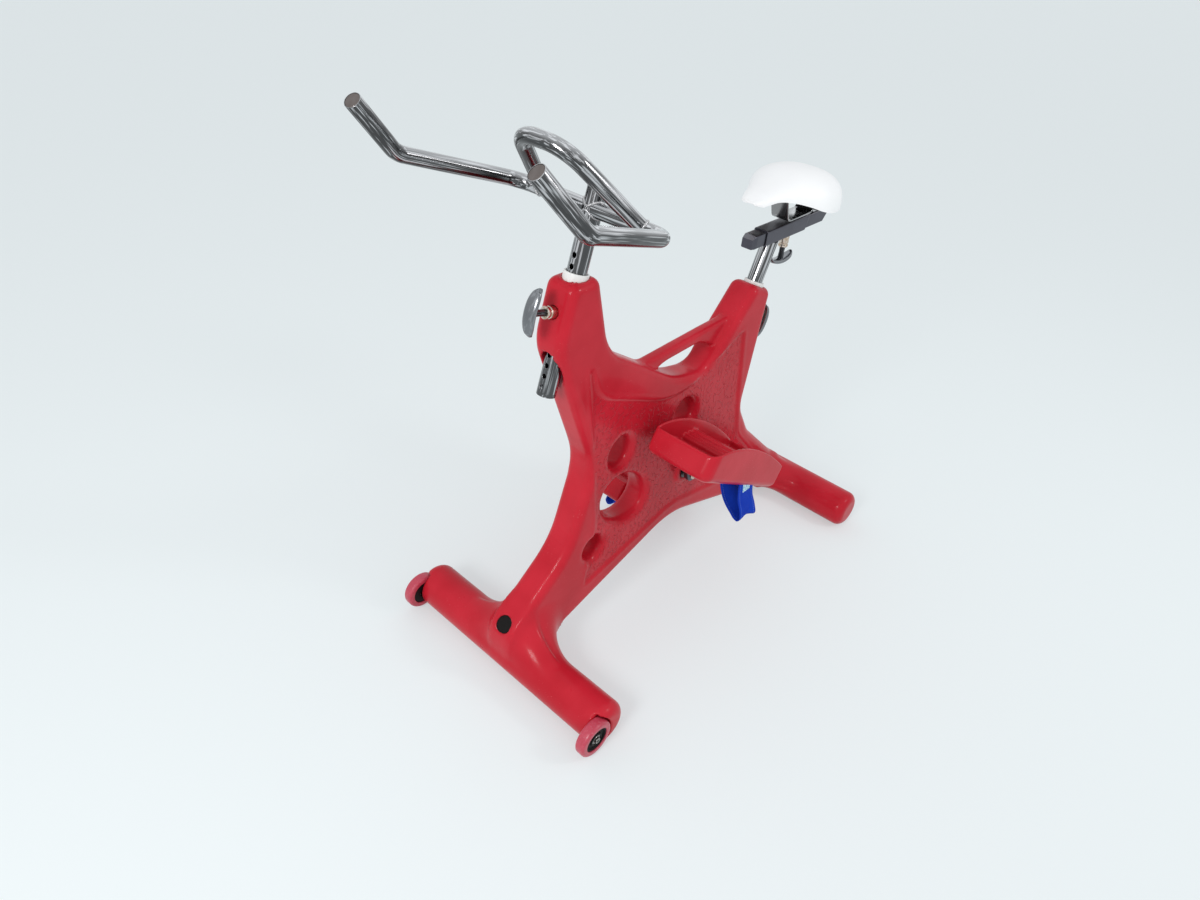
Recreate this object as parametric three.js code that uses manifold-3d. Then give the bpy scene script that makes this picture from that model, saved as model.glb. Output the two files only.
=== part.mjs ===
// Aqua bike: a pedal trainer that stands on the floor of a swimming pool.
// A moulded frame on two round cross feet holds a handlebar post, a saddle post with a
// fore-and-aft slide, a crank with two tray pedals, and a wheel at each front corner.
// Millimetres: X runs forward, Y to the rider's left, Z up, and the floor is at Z 0.

import * as THREE from "three";
import { mergeVertices } from "three/addons/utils/BufferGeometryUtils.js";
import Module from "manifold-3d";

const wasm = await Module();
wasm.setup();

// Frame and feet
const wheelBase = 976;
const neckHeight = 882;
const bodyWidth = 72;
const bodyRounding = 18;
const footRadius = 48;
const footFlat = 1;
const frontFootLength = 560;
const rearFootLength = 545;
const footEndRounding = 22;
const flareLength = 104;
const frontFlareReach = 100;
const rearFlareReach = 85;
const recessDepth = 2.5;
const strutWidth = 28;
const strutRounding = 9;
const holeRounding = 16;
const plugRadius = 15;
const plugHead = 5;
const plugStem = 14;

// Round posts and their guides
const postRadius = 18;
const postWall = 2.2;
const guideRadius = 23;
const guideLength = 44;
const collarRise = 9;
const lowerGuideLength = 28;
const frontLean = THREE.MathUtils.degToRad(15.52);
const frontPinDepth = 64.5;
const frontPostBelow = 158;
const frontPostAbove = 38;
const crossRise = 181;
const rearLean = THREE.MathUtils.degToRad(21.4);
const rearPinDepth = 85.5;
const rearPostBelow = 152;
const rearPostAbove = 187;
const rearPostTravel = 60;
const frontPostTravel = 40;
const holePitch = 20;
const capThickness = 3;

// Handlebar
const barRadius = 13.5;
const barBend = 45;
const crossForward = 5;
const cornerHalfWidth = 165.7;
const bendForward = 230;
const bendHalfWidth = 204.6;
const bendRise = 75;
const tipForward = 309.5;
const tipHalfWidth = 188.5;
const tipRise = 167;
const loopHalfWidth = 112;
const loopCrownHalfWidth = 50;
const loopForward = 120;
const loopRise = 130;
const loopBend = 58;
const endDiscRadius = 12;
const endDiscThickness = 2;

// Pull pins
const pinRadius = 4.2;
const pinHoleRadius = 4.9;
const pinTravel = 10;
const pinCollarRadius = 7;
const pinCollarLength = 4;
const springLength = 8;
const bossRadius = 11.2;
const bossInnerWall = 3;
const bossOuterWall = 4;
const stemRadius = 6.5;
const stemLength = 27;
const wingLength = 86;
const wingWidth = 27;
const wingThickness = 12;
const wingBow = 9;
const frontBossFrom = 28;
const rearBossFrom = 46;
const tipInside = 3;

// Saddle slide
const sleeveSize = 35;
const sleeveWall = 2.2;
const sleeveFront = 47;
const sleeveLength = 175;
const sleeveSlant = 14;
const barSize = 30;
const barWall = 2.5;
const barFront = 97;
const barLength = 318;
const barSlant = 26;
const slidePitch = 15;
const slidePinAt = 61;
const slideForwardSteps = 1;
const slideRearSteps = 5;
const capChamfer = 9;
const capLength = 14;

// Saddle and its bracket
const saddleLength = 275;
const saddleHalfWidth = 98;
const saddleNose = 112;
const saddleRim = 58;
const saddleHeight = 80;
const saddleHollow = 9;
const panThickness = 7;
const bracketWidth = 44;
const bracketThickness = 4;
const bracketFootFrom = 147;
const bracketFootLength = 36;
const bracketLift = 6;
const bracketBend = 14;
const bracketFrontAt = 12;
const bracketRearAt = 138;
const bracketBoltRadius = 4;
const bracketBoltHead = 6.5;
const bracketBoltGrip = 12;

// Crank
const axleRadius = 10;
const bearingRadius = 20.7;
const bearingWidth = 12;
const hubBossRadius = 36;
const hubBossProud = 3;
const crankLength = 150;
const crankInside = 46;
const crankThickness = 14;
const crankHubRadius = 20;
const crankEyeRadius = 15;
const crankAngle = THREE.MathUtils.degToRad(70.4);
const crankBoltRadius = 13;
const crankBoltHead = 5;

// Pedals and straps
const spindleRadius = 7;
const spindleFlange = 11;
const spindleReach = 204;
const pedalBushRadius = 10;
const trayInside = 68;
const trayWidth = 154;
const trayFront = 158;
const trayRear = 198;
const trayTop = -2;
const trayBottom = 52;
const trayArch = 38;
const trayArchSkew = 0.8;
const trayArchFullness = 0.75;
const trayWall = 5;
const trayFloor = 15;
const trayRounding = 20;
const trayPlanRounding = 24;
const humpRadius = 17;
const heelDrop = THREE.MathUtils.degToRad(29.5);
const strapWidth = 48;
const strapThickness = 2.4;
const strapBehind = 20;
const strapInner = 156;
const strapOuter = 213;
const strapLow = 172;
const strapTurn = 6;
const strapSwing = 23;

// Transport wheels
const wheelRadius = 41;
const wheelWidth = 24;
const wheelForward = 38.8;
const wheelHeight = 46.3;
const wheelInset = 8;
const wheelClearance = 4;
const tyreInnerRadius = 28;
const tyreShoulder = 6;
const hubInset = 2;
const wheelBearingRadius = 11;
const wheelBearingWidth = 18;
const wheelBoltRadius = 4;
const wheelBoltHead = 6.5;
const wheelBoltHeadLength = 5;
const wheelBoltGrip = 24;

// Clearance between touching pieces, overrun of cutters, and how finely round work is drawn
const gap = 0.3;
const overrun = 6;
const weld = 0.001;
const arcStep = Math.PI / 9;
const roundSides = 20;
const barSides = 16;
const smallSides = 12;
const holeSides = 8;
const footSides = 26;
const roundingSteps = 2;

const halfBase = wheelBase / 2;
const footHeight = footRadius - footFlat;
const crankShares = [-0.031, 0.337];
const crankX = crankShares[0] * halfBase;
const crankZ = crankShares[1] * neckHeight;

// Solids

// The closed solid that a geometry's triangles bound.
function solid(geometry) {
  const bare = new THREE.BufferGeometry();
  bare.setAttribute("position", geometry.getAttribute("position").clone());
  bare.setIndex(geometry.index);
  const merged = mergeVertices(bare, weld);
  const vertProperties = new Float32Array(merged.getAttribute("position").array);
  const triVerts = new Uint32Array(merged.index.array);
  return new wasm.Manifold(new wasm.Mesh({ numProp: 3, vertProperties, triVerts }));
}

// The geometry of a solid.
function surface(body) {
  const mesh = body.getMesh();
  const geometry = new THREE.BufferGeometry();
  geometry.setAttribute("position", new THREE.BufferAttribute(mesh.vertProperties, 3));
  geometry.setIndex(new THREE.BufferAttribute(mesh.triVerts, 1));
  return geometry;
}

const cut = (base, ...tools) =>
  surface(tools.reduce((body, tool) => body.subtract(solid(tool)), solid(base)));
const join = (base, ...others) =>
  surface(others.reduce((body, other) => body.add(solid(other)), solid(base)));
const common = (base, other) => surface(solid(base).intersect(solid(other)));

// A body of revolution about Z from pairs of radius and height, going up its outside.
function turned(profile, sides = roundSides) {
  const points = profile.map(([radius, height]) => new THREE.Vector2(radius, height));
  return new THREE.LatheGeometry(points, sides).rotateX(Math.PI / 2);
}

// A solid cylinder along Z.
function rod(radius, low, high, sides = roundSides) {
  return turned([[0, low], [radius, low], [radius, high], [0, high]], sides);
}

// A ring along Z with a round bore.
function ring(outer, inner, low, high, sides = roundSides) {
  return turned([[inner, low], [outer, low], [outer, high], [inner, high], [inner, low]], sides);
}

// The same turned work laid along Y, or along X.
const alongY = (geometry) => geometry.rotateX(-Math.PI / 2);
const alongX = (geometry) => geometry.rotateY(Math.PI / 2);

// One corner of a path as an arc that is tangent to both of its sides.
function roundCorner(before, corner, after, radius) {
  if (radius === 0) return [corner.clone()];
  const back = before.clone().sub(corner).normalize();
  const on = after.clone().sub(corner).normalize();
  const half = back.angleTo(on) / 2;
  const centre = back.clone().add(on).normalize();
  centre.multiplyScalar(radius / Math.sin(half)).add(corner);
  const start = back.multiplyScalar(radius / Math.tan(half)).add(corner).sub(centre);
  const end = on.multiplyScalar(radius / Math.tan(half)).add(corner).sub(centre);
  const axis = start.clone().cross(end).normalize();
  const turn = Math.PI - 2 * half;
  const steps = Math.max(1, Math.ceil(turn / arcStep));
  return Array.from({ length: steps + 1 }, (_, step) =>
    start.clone().applyAxisAngle(axis, (turn * step) / steps).add(centre));
}

// A closed outline in the XZ plane from corners of x, z and corner radius.
function outline(corners) {
  const places = corners.map(([x, z]) => new THREE.Vector3(x, 0, z));
  const count = places.length;
  const points = corners.flatMap(([, , radius], i) =>
    roundCorner(places[(i + count - 1) % count], places[i], places[(i + 1) % count], radius));
  return points.map((point) => new THREE.Vector2(point.x, point.z));
}

// Corners given as shares of half the wheel base and of the neck height. A round corner's radius
// is a share of the neck height on top of the rounding that runs along the edge.
const bodyOutline = (shares, rounding = 0) =>
  outline(shares.map(([x, z, radius]) =>
    [x * halfBase, z * neckHeight, radius && radius * neckHeight + rounding]));

// An outline carried straight across, from one y to another.
function across(points, from, to) {
  const options = { depth: to - from, bevelEnabled: false };
  const block = new THREE.ExtrudeGeometry(new THREE.Shape(points), options);
  return block.rotateX(Math.PI / 2).translate(0, to, 0);
}

// An outline as a plate about the middle plane, with its edges rounded over.
function roundedPlate(points, width, rounding) {
  const options = {
    depth: width - 2 * rounding,
    bevelThickness: rounding,
    bevelSize: rounding,
    bevelOffset: -rounding,
    bevelSegments: roundingSteps,
  };
  const block = new THREE.ExtrudeGeometry(new THREE.Shape(points), options);
  return block.rotateX(Math.PI / 2).translate(0, width / 2 - rounding, 0);
}

// Rings of equally many points joined into one skin, with a fan over each end.
function loft(rings) {
  const sides = rings[0].length;
  const places = rings.flat();
  const middle = (list) =>
    list.reduce((sum, point) => sum.add(point), new THREE.Vector3()).divideScalar(sides);
  const last = places.length - sides;
  const faces = [];
  for (let i = 0; i < rings.length - 1; i += 1) {
    for (let j = 0; j < sides; j += 1) {
      const a = i * sides + j;
      const b = i * sides + ((j + 1) % sides);
      faces.push([a, b, b + sides], [a, b + sides, a + sides]);
    }
  }
  for (let j = 0; j < sides; j += 1) {
    const next = (j + 1) % sides;
    faces.push([places.length, next, j], [places.length + 1, last + j, last + next]);
  }
  places.push(middle(rings[0]), middle(rings[rings.length - 1]));
  const geometry = new THREE.BufferGeometry().setFromPoints(places);
  geometry.setIndex(faces.flat());
  if (solid(geometry).volume() < 0) geometry.setIndex(faces.flatMap(([a, b, c]) => [c, b, a]));
  return geometry;
}

// A path whose evenly spaced samples are its own stations.
class Stations extends THREE.Curve {
  constructor(stations) {
    super();
    this.stations = stations;
    this.last = stations.length - 1;
  }

  getPointAt(share) {
    return this.stations[Math.round(share * this.last)].clone();
  }

  getTangentAt(share) {
    const here = Math.round(share * this.last);
    const step = (from, to) => this.stations[to].clone().sub(this.stations[from]).normalize();
    if (here === 0) return step(0, 1);
    if (here === this.last) return step(this.last - 1, this.last);
    return step(here - 1, here).add(step(here, here + 1)).normalize();
  }
}

// A round bar along a path with rounded bends.
function bentBar(corners, radius, bend) {
  const stations = corners.flatMap((corner, i) => {
    if (i === 0 || i === corners.length - 1) return [corner.clone()];
    return roundCorner(corners[i - 1], corner, corners[i + 1], bend);
  });
  const section = new THREE.Shape().absarc(0, 0, radius, 0, 2 * Math.PI);
  const options = {
    steps: stations.length - 1,
    curveSegments: barSides / 2,
    extrudePath: new Stations(stations),
    bevelEnabled: false,
  };
  return new THREE.ExtrudeGeometry(section, options);
}

// A strip of even thickness along a flat path, as a closed outline.
function strip(path, thickness) {
  const side = (sign) => path.map((point, i) => {
    const before = path[Math.max(i - 1, 0)];
    const after = path[Math.min(i + 1, path.length - 1)];
    const along = after.clone().sub(before).normalize();
    return new THREE.Vector2(-along.y, along.x).multiplyScalar(sign * thickness / 2).add(point);
  });
  return [...side(1), ...side(-1).reverse()];
}

// A flat open path with rounded corners, from pairs of coordinates.
function flatPath(corners, bend) {
  const places = corners.map(([x, z]) => new THREE.Vector3(x, 0, z));
  const points = places.flatMap((place, i) => {
    if (i === 0 || i === places.length - 1) return [place];
    return roundCorner(places[i - 1], place, places[i + 1], bend);
  });
  return points.map((point) => new THREE.Vector2(point.x, point.z));
}

// Finishes
const finish = (color, roughness, metalness) =>
  new THREE.MeshStandardMaterial({ color, roughness, metalness });
const redPlastic = finish(0xc52c3a, 0.45, 0);
const whitePlastic = finish(0xf2f2f0, 0.4, 0);
const steel = finish(0xc9ccd0, 0.15, 1);
const darkSteel = finish(0x6d7078, 0.3, 1);
const nickel = finish(0xb09a85, 0.25, 1);
const blackPlastic = finish(0x1d1b1c, 0.5, 0);
const redTyre = finish(0xc04458, 0.35, 0);
const blueWebbing = finish(0x143ca0, 0.8, 0);
const clearBush = finish(0xdedcd4, 0.5, 0);

function piece(parent, name, geometry, material) {
  const mesh = new THREE.Mesh(geometry, material.clone());
  mesh.name = name;
  parent.add(mesh);
  return mesh;
}

function placed(parent, x, y, z) {
  const group = new THREE.Group();
  group.position.set(x, y, z);
  parent.add(group);
  return group;
}

// A geometry drawn in a group, in the bike's own frame.
function inBike(geometry, group) {
  group.updateWorldMatrix(true, false);
  return geometry.clone().applyMatrix4(group.matrixWorld);
}

const bike = new THREE.Group();

// The two posts stand in groups whose Z runs up the post and whose origin is where the pull
// pin crosses the post's axis. Both lean backwards from the floor.
function mast(seatShares, lean, pinDepth) {
  const x = seatShares[0] * halfBase + pinDepth * Math.sin(lean);
  const z = seatShares[1] * neckHeight - pinDepth * Math.cos(lean);
  const group = placed(bike, x, 0, z);
  group.rotation.y = -lean;
  return group;
}
const frontSeatShares = [0.7486, 1];
const rearSeatShares = [-0.461, 0.791];
const frontMast = mast(frontSeatShares, frontLean, frontPinDepth);
const rearMast = mast(rearSeatShares, rearLean, rearPinDepth);
const rearPin = placed(rearMast, 0, 0, 0);
rearPin.rotation.z = Math.PI;

// The slide lies level on the saddle post's top end, and its pin is pulled downwards.
const slide = placed(
  bike,
  rearMast.position.x - rearPostAbove * Math.sin(rearLean),
  0,
  rearMast.position.z + rearPostAbove * Math.cos(rearLean) + sleeveSize / 2,
);
const slidePin = placed(slide, -slidePinAt, 0, 0);
slidePin.rotation.y = Math.PI / 2;

// Frame body: x, z and corner radius of its side view, as shares
const bodyShares = [
  [-0.963, 0.025, 0], [0.041, 0.2, 0.207], [0.963, 0.034, 0], [1.086, 0.045, 0],
  [1.086, 0.151, 0.023], [0.758, 0.305, 0.184], [0.639, 0.523, 0.15], [0.889, 0.87, 0.093],
  [0.826, 1, 0.003], [0.689, 1, 0.003], [0.602, 0.816, 0.127], [0.127, 0.65, 0.207],
  [-0.082, 0.626, 0.048], [-0.381, 0.808, 0.003], [-0.517, 0.779, 0.003],
  [-0.453, 0.437, 0.082], [-0.584, 0.323, 0.15], [-1.025, 0.102, 0], [-1.066, 0.057, 0],
];
const strutShares = [
  [0.441, 0.72, 0], [-0.082, 0.733, 0.326], [-0.328, 0.737, 0], [-0.328, 0.675, 0],
  [-0.154, 0.676, 0.014], [-0.051, 0.703, 0.054], [0.2, 0.697, 0.099], [0.385, 0.65, 0],
];
const recessShares = [
  [0.725, 0.841, 0.009], [0.537, 0.701, 0.136], [0.041, 0.567, 0.102], [-0.34, 0.703, 0.014],
  [-0.41, 0.465, 0.091], [-0.461, 0.34, 0.091], [-0.676, 0.215, 0.017], [-0.645, 0.17, 0.017],
  [0.041, 0.24, 0.17], [0.652, 0.154, 0.011], [0.598, 0.34, 0.34],
];
// Through holes: middle x and z, half length and half width, and tilt, as shares
const holeShares = [
  [0.467, 0.52, 0.042, 0.036, 0.5], [0.406, 0.366, 0.094, 0.064, 0.22],
  [0.594, 0.264, 0.036, 0.032, 0.3], [0.024, 0.527, 0.044, 0.036, 0.2],
];

// A cross foot that swells round its axis where the plate runs into it. The swelling is
// largest towards the plate and dies out along the foot in a hollow curve.
function foot(length, flareReach, turnShares) {
  const [flareAngle, flareSpread] = turnShares.map((share) => share * Math.PI);
  const half = length / 2;
  const root = bodyWidth / 2 - overrun / 2;
  const swell = (angle) => {
    const off = Math.abs(Math.atan2(Math.sin(angle - flareAngle), Math.cos(angle - flareAngle)));
    const share = Math.max(0, 1 - off / flareSpread);
    return share * share * (3 - 2 * share);
  };
  const flareShares = [0.06, 0.18, 0.36, 0.6, 1];
  const rounding = [Math.PI / 4, Math.PI / 2];
  const stations = [
    { y: root, flare: 1, inset: 0 },
    ...flareShares.map((share) => ({
      y: root + share * flareLength,
      flare: 1 - Math.sqrt(1 - (1 - share) ** 2),
      inset: 0,
    })),
    { y: half - footEndRounding, flare: 0, inset: 0 },
    ...rounding.map((turn) => ({
      y: half - footEndRounding * (1 - Math.sin(turn)),
      flare: 0,
      inset: footEndRounding * (1 - Math.cos(turn)),
    })),
  ];
  const both = [...stations.map((at) => ({ ...at, y: -at.y })).reverse(), ...stations];
  const angles = Array.from({ length: footSides }, (_, i) => (i * 2 * Math.PI) / footSides);
  return loft(both.map(({ y, flare, inset }) => angles.map((angle) => {
    const radius = footRadius - inset + flare * flareReach * swell(angle);
    return new THREE.Vector3(radius * Math.cos(angle), y, radius * Math.sin(angle));
  })));
}

// A cutter for an oval hole whose rim is rounded over at both faces of the plate.
function ovalCutter([x, z, halfLength, halfWidth, tilt]) {
  const half = bodyWidth / 2;
  const turns = [0, Math.PI / 4, Math.PI / 2];
  const stations = turns.map((turn) => ({
    y: half - holeRounding * (1 - Math.sin(turn)),
    grow: holeRounding * (1 - Math.cos(turn)),
  }));
  stations.push({ y: half + overrun, grow: holeRounding });
  const both = [...stations.map((at) => ({ ...at, y: -at.y })).reverse(), ...stations];
  const angles = Array.from({ length: roundSides }, (_, i) => (i * 2 * Math.PI) / roundSides);
  const cutter = loft(both.map(({ y, grow }) => angles.map((angle) => {
    const long = (halfLength * neckHeight + grow) * Math.cos(angle);
    const wide = (halfWidth * neckHeight + grow) * Math.sin(angle);
    return new THREE.Vector3(long, y, wide);
  })));
  return cutter.rotateY(-tilt * Math.PI).translate(x * halfBase, 0, z * neckHeight);
}

const plateFace = bodyWidth / 2;
const boreRadius = guideRadius + gap;
const pinCavity = pinCollarLength + pinTravel + springLength + 3 * gap;
const bossLength = bossInnerWall + pinCavity + bossOuterWall;
const wheelX = halfBase + wheelForward;
const wheelY = frontFootLength / 2 - wheelInset;
const wheelFace = wheelWidth / 2;
const span = (side, near, far) => (side > 0 ? [near, far] : [-far, -near]);

// Drain plug: a flanged cap on the slope over the front foot. Its place is in shares of the
// foot's radius, its stem, edge and crown in shares of its own radius and head.
const plugForwardShare = 0.61;
const plugHeightShare = 1.96;
const plugStemShare = 0.66;
const plugEdgeShare = 0.85;
const plugCrownShare = 0.25;
const plugX = halfBase + plugForwardShare * footRadius;
const plugPlace = placed(bike, plugX, 0, footHeight + plugHeightShare * footRadius);
const plugStemRadius = plugStemShare * plugRadius;
const plugCrown = plugCrownShare * plugHead;
plugPlace.rotation.y = 0.235 * Math.PI;
const plug = turned([
  [0, -plugHead - plugStem], [plugStemRadius, -plugHead - plugStem],
  [plugStemRadius, -plugHead], [plugRadius, -plugHead], [plugRadius, 0],
  [plugEdgeShare * plugRadius, plugCrown], [0, plugCrown],
]);
piece(plugPlace, "drain_plug", plug, blackPlastic);

// Where each foot's swelling is largest and how far round it goes, as shares of half a turn
const frontFlareShares = [0.711, 0.611];
const rearFlareShares = [0.17, 0.42];
const frontFoot = foot(frontFootLength, frontFlareReach, frontFlareShares);
const rearFoot = foot(rearFootLength, rearFlareReach, rearFlareShares);
const hubReach = plateFace + hubBossProud;
const underFloor = new THREE.BoxGeometry(2 * wheelBase, 2 * frontFootLength, 2 * footRadius);
let frame = join(
  roundedPlate(bodyOutline(bodyShares, bodyRounding), bodyWidth, bodyRounding),
  roundedPlate(bodyOutline(strutShares, strutRounding), strutWidth, strutRounding),
  frontFoot.translate(halfBase, 0, footHeight),
  rearFoot.translate(-halfBase, 0, footHeight),
);
for (const side of [1, -1]) {
  const recess = span(side, plateFace - recessDepth, plateFace + overrun);
  frame = cut(frame, across(bodyOutline(recessShares), ...recess));
}
frame = join(
  frame,
  alongY(rod(hubBossRadius, -hubReach, hubReach)).translate(crankX, 0, crankZ),
);
for (const side of [1, -1]) {
  const seat = span(side, hubReach - bearingWidth - gap, hubReach + overrun);
  const notch = span(side, wheelY - wheelFace - 2 * gap, wheelY + 2 * wheelWidth);
  const boltHole = span(side, wheelY - wheelFace - wheelBoltGrip, wheelY);
  frame = cut(
    frame,
    alongY(rod(bearingRadius + gap, ...seat)).translate(crankX, 0, crankZ),
    alongY(rod(wheelRadius + wheelClearance, ...notch)).translate(wheelX, 0, wheelHeight),
    alongY(rod(wheelBoltRadius + gap, ...boltHole, smallSides)).translate(wheelX, 0, wheelHeight),
  );
}
const frontBore = [-frontPostBelow - frontPostTravel - overrun, frontPinDepth + 3 * overrun];
const rearBore = [-rearPostBelow - rearPostTravel - gap, rearPinDepth + 3 * overrun];
const pinHole = rod(pinHoleRadius, postRadius, rearBossFrom, smallSides);
frame = cut(
  frame,
  ...holeShares.map(ovalCutter),
  alongY(rod(axleRadius + gap, -hubReach, hubReach)).translate(crankX, 0, crankZ),
  inBike(rod(boreRadius, ...frontBore), frontMast),
  inBike(rod(boreRadius, ...rearBore), rearMast),
  inBike(alongX(pinHole.clone()), frontMast),
  inBike(alongX(pinHole.clone()), rearPin),
  inBike(alongX(rod(bossRadius + gap, frontBossFrom - gap, 2 * rearBossFrom)), frontMast),
  inBike(alongX(rod(bossRadius + gap, rearBossFrom - gap, 2 * rearBossFrom)), rearPin),
  inBike(rod(plugRadius + gap, -plugHead - gap, plugRadius), plugPlace),
  inBike(rod(plugStemRadius + gap, -plugHead - plugStem - gap, 0), plugPlace),
  underFloor.translate(0, 0, -footRadius),
);
piece(bike, "frame_body", frame, redPlastic);

// Plain bearing sleeves that guide the posts: a collar in each neck and a bush lower down
const guide = (low, high) => ring(guideRadius, postRadius + gap, low, high);
piece(frontMast, "front_collar", guide(frontPinDepth - guideLength, frontPinDepth + collarRise),
  whitePlastic);
piece(frontMast, "front_lower_bush", guide(-lowerGuideLength - postRadius, -postRadius),
  clearBush);
piece(rearMast, "rear_collar", guide(rearPinDepth - guideLength, rearPinDepth + collarRise),
  whitePlastic);
piece(rearMast, "rear_lower_bush", guide(lowerGuideLength - rearPostBelow,
  2 * lowerGuideLength - rearPostBelow), clearBush);

// Pull pins: a boss, a collared pin held in by a coil spring, and a bowed wing on a stem.
// Each is drawn along X from the axis of the tube that its tip locks.
function pullPin(parent, name, bossFrom, tipAt) {
  const cavityFrom = bossFrom + bossInnerWall;
  const cavityTo = cavityFrom + pinCavity;
  const bossTo = bossFrom + bossLength;
  const wingAt = bossTo + stemLength + wingThickness / 2;
  const collarFrom = cavityFrom + gap;
  const collarTo = collarFrom + pinCollarLength;
  const boss = turned([
    [pinHoleRadius, bossFrom], [bossRadius, bossFrom], [bossRadius, bossTo - bossInnerWall],
    [bossRadius - bossInnerWall / 2, bossTo], [pinHoleRadius, bossTo],
    [pinHoleRadius, cavityTo], [pinCollarRadius + gap, cavityTo],
    [pinCollarRadius + gap, cavityFrom], [pinHoleRadius, cavityFrom], [pinHoleRadius, bossFrom],
  ], smallSides);
  const pin = turned([
    [0, tipAt], [pinRadius, tipAt], [pinRadius, collarFrom], [pinCollarRadius, collarFrom],
    [pinCollarRadius, collarTo], [pinRadius, collarTo], [pinRadius, wingAt - wingThickness / 4],
    [0, wingAt - wingThickness / 4],
  ], smallSides);
  const turns = Array.from({ length: smallSides }, (_, i) => (i * 2 * Math.PI) / smallSides);
  const wingShares = [-0.98, -0.82, -0.45, 0, 0.45, 0.82, 0.98];
  const wing = loft(wingShares.map((share) => {
    const width = (wingWidth / 2) * Math.sqrt(1 - Math.abs(share) ** 3);
    const thick = (wingThickness / 2) * Math.sqrt(1 - Math.abs(share) ** 3);
    return turns.map((turn) => new THREE.Vector3(
      wingAt - wingBow * share * share + thick * Math.cos(turn),
      width * Math.sin(turn),
      (share * wingLength) / 2,
    ));
  }));
  const stem = alongX(rod(stemRadius, bossTo + gap, wingAt, smallSides));
  const socket = alongX(rod(pinRadius + gap, bossTo, wingAt - wingThickness / 4 + gap, smallSides));
  piece(parent, `${name}_boss`, alongX(boss), nickel);
  piece(parent, `${name}_spring`, alongX(ring(pinCollarRadius, pinRadius + gap,
    cavityTo - gap - springLength, cavityTo - gap, smallSides)), darkSteel);
  piece(parent, `${name}_shaft`, alongX(pin), steel);
  piece(parent, `${name}_wing`, cut(join(wing, stem), socket), steel);
}
const postTip = postRadius - postWall - tipInside;
pullPin(frontMast, "front_pin", frontBossFrom, postTip);
pullPin(rearPin, "rear_pin", rearBossFrom, postTip);
pullPin(slidePin, "slide_pin", sleeveSize / 2 + gap, barSize / 2 - barWall - tipInside);

// Posts: steel tubes with a row of holes for the pin
function post(low, high, steps, towards) {
  const tube = ring(postRadius, postRadius - postWall, low, high);
  const holes = steps.map((step) =>
    alongX(rod(pinHoleRadius, postTip, postRadius + overrun, holeSides))
      .rotateZ(towards).translate(0, 0, step * holePitch));
  return cut(tube, ...holes);
}
const frontTop = crossRise + frontPostAbove;
const frontHoles = [-7, -6, -5, -4, -3, -2, -1, 0, 1, 2, 3, 4, 5];
piece(frontMast, "handlebar_post", post(-frontPostBelow, frontTop, frontHoles, 0), steel);
piece(frontMast, "handlebar_post_cap", rod(postRadius, frontTop + gap, frontTop + capThickness),
  steel);
const sleeveBlock = new THREE.BoxGeometry(2 * sleeveLength, 2 * sleeveSize, 2 * sleeveSize);
sleeveBlock.translate(0, 0, sleeveSize / 2 - gap);
rearMast.updateWorldMatrix(true, false);
const slideInMast = rearMast.matrixWorld.clone().invert();
const saddlePost = post(-rearPostBelow, rearPostAbove + postRadius, [-3, -2, -1, 0, 1, 2, 3],
  Math.PI);
piece(rearMast, "saddle_post",
  cut(saddlePost, inBike(sleeveBlock, slide).applyMatrix4(slideInMast)), steel);

// Handlebar: two bent side bars welded to the post, and a loop welded across them
const cross = new THREE.Vector3(
  frontMast.position.x - crossRise * Math.sin(frontLean) + crossForward,
  0,
  frontMast.position.z + crossRise * Math.cos(frontLean),
);
const fromCross = (forward, out, rise) =>
  cross.clone().add(new THREE.Vector3(forward, out, rise));
const barTip = fromCross(tipForward, tipHalfWidth, tipRise);
const barBendAt = fromCross(bendForward, bendHalfWidth, bendRise);
const tipWay = barTip.clone().sub(barBendAt).normalize();
const aim = new THREE.Quaternion().setFromUnitVectors(new THREE.Vector3(0, 0, 1), tipWay);
const sideBar = cut(
  bentBar([fromCross(0, postRadius / 2, 0), fromCross(0, cornerHalfWidth, 0), barBendAt, barTip],
    barRadius, barBend),
  inBike(rod(postRadius + gap, 0, frontTop), frontMast),
  rod(endDiscRadius + gap, -endDiscThickness - gap, overrun).applyQuaternion(aim)
    .translate(...barTip),
);
const endDisc = rod(endDiscRadius, -endDiscThickness, 0).applyQuaternion(aim)
  .translate(...barTip);
const loop = bentBar([
  fromCross(0, loopHalfWidth, 0), fromCross(loopForward, loopCrownHalfWidth, loopRise),
  fromCross(loopForward, -loopCrownHalfWidth, loopRise), fromCross(0, -loopHalfWidth, 0),
], barRadius, loopBend);
const crossSeat = alongY(rod(barRadius + gap, -cornerHalfWidth, cornerHalfWidth))
  .translate(...cross);
piece(bike, "centre_loop", cut(loop, crossSeat), steel);

// Slide: a square sleeve on the saddle post and the square bar that runs in it
const sleeveHalf = sleeveSize / 2;
const barHalf = barSize / 2;
const corners = (list) => list.map(([x, z]) => new THREE.Vector2(x, z));
slidePin.updateMatrix();
const inSlide = (geometry, step) =>
  geometry.applyMatrix4(slidePin.matrix).translate(step * slidePitch, 0, 0);
const sleeveRear = sleeveFront - sleeveLength;
const sleeveBore = new THREE.BoxGeometry(2 * sleeveLength, sleeveSize - 2 * sleeveWall,
  sleeveSize - 2 * sleeveWall);
const sleeve = across(corners([
  [sleeveFront, -sleeveHalf], [sleeveFront, sleeveHalf], [sleeveRear, sleeveHalf],
  [sleeveRear + sleeveSlant, -sleeveHalf],
]), -sleeveHalf, sleeveHalf);
const slideHole = (reach) => alongX(rod(pinHoleRadius, 0, reach, holeSides));
piece(slide, "slide_sleeve", cut(sleeve, sleeveBore, inSlide(slideHole(sleeveSize), 0)),
  darkSteel);
const barRear = barFront - barLength;
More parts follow.
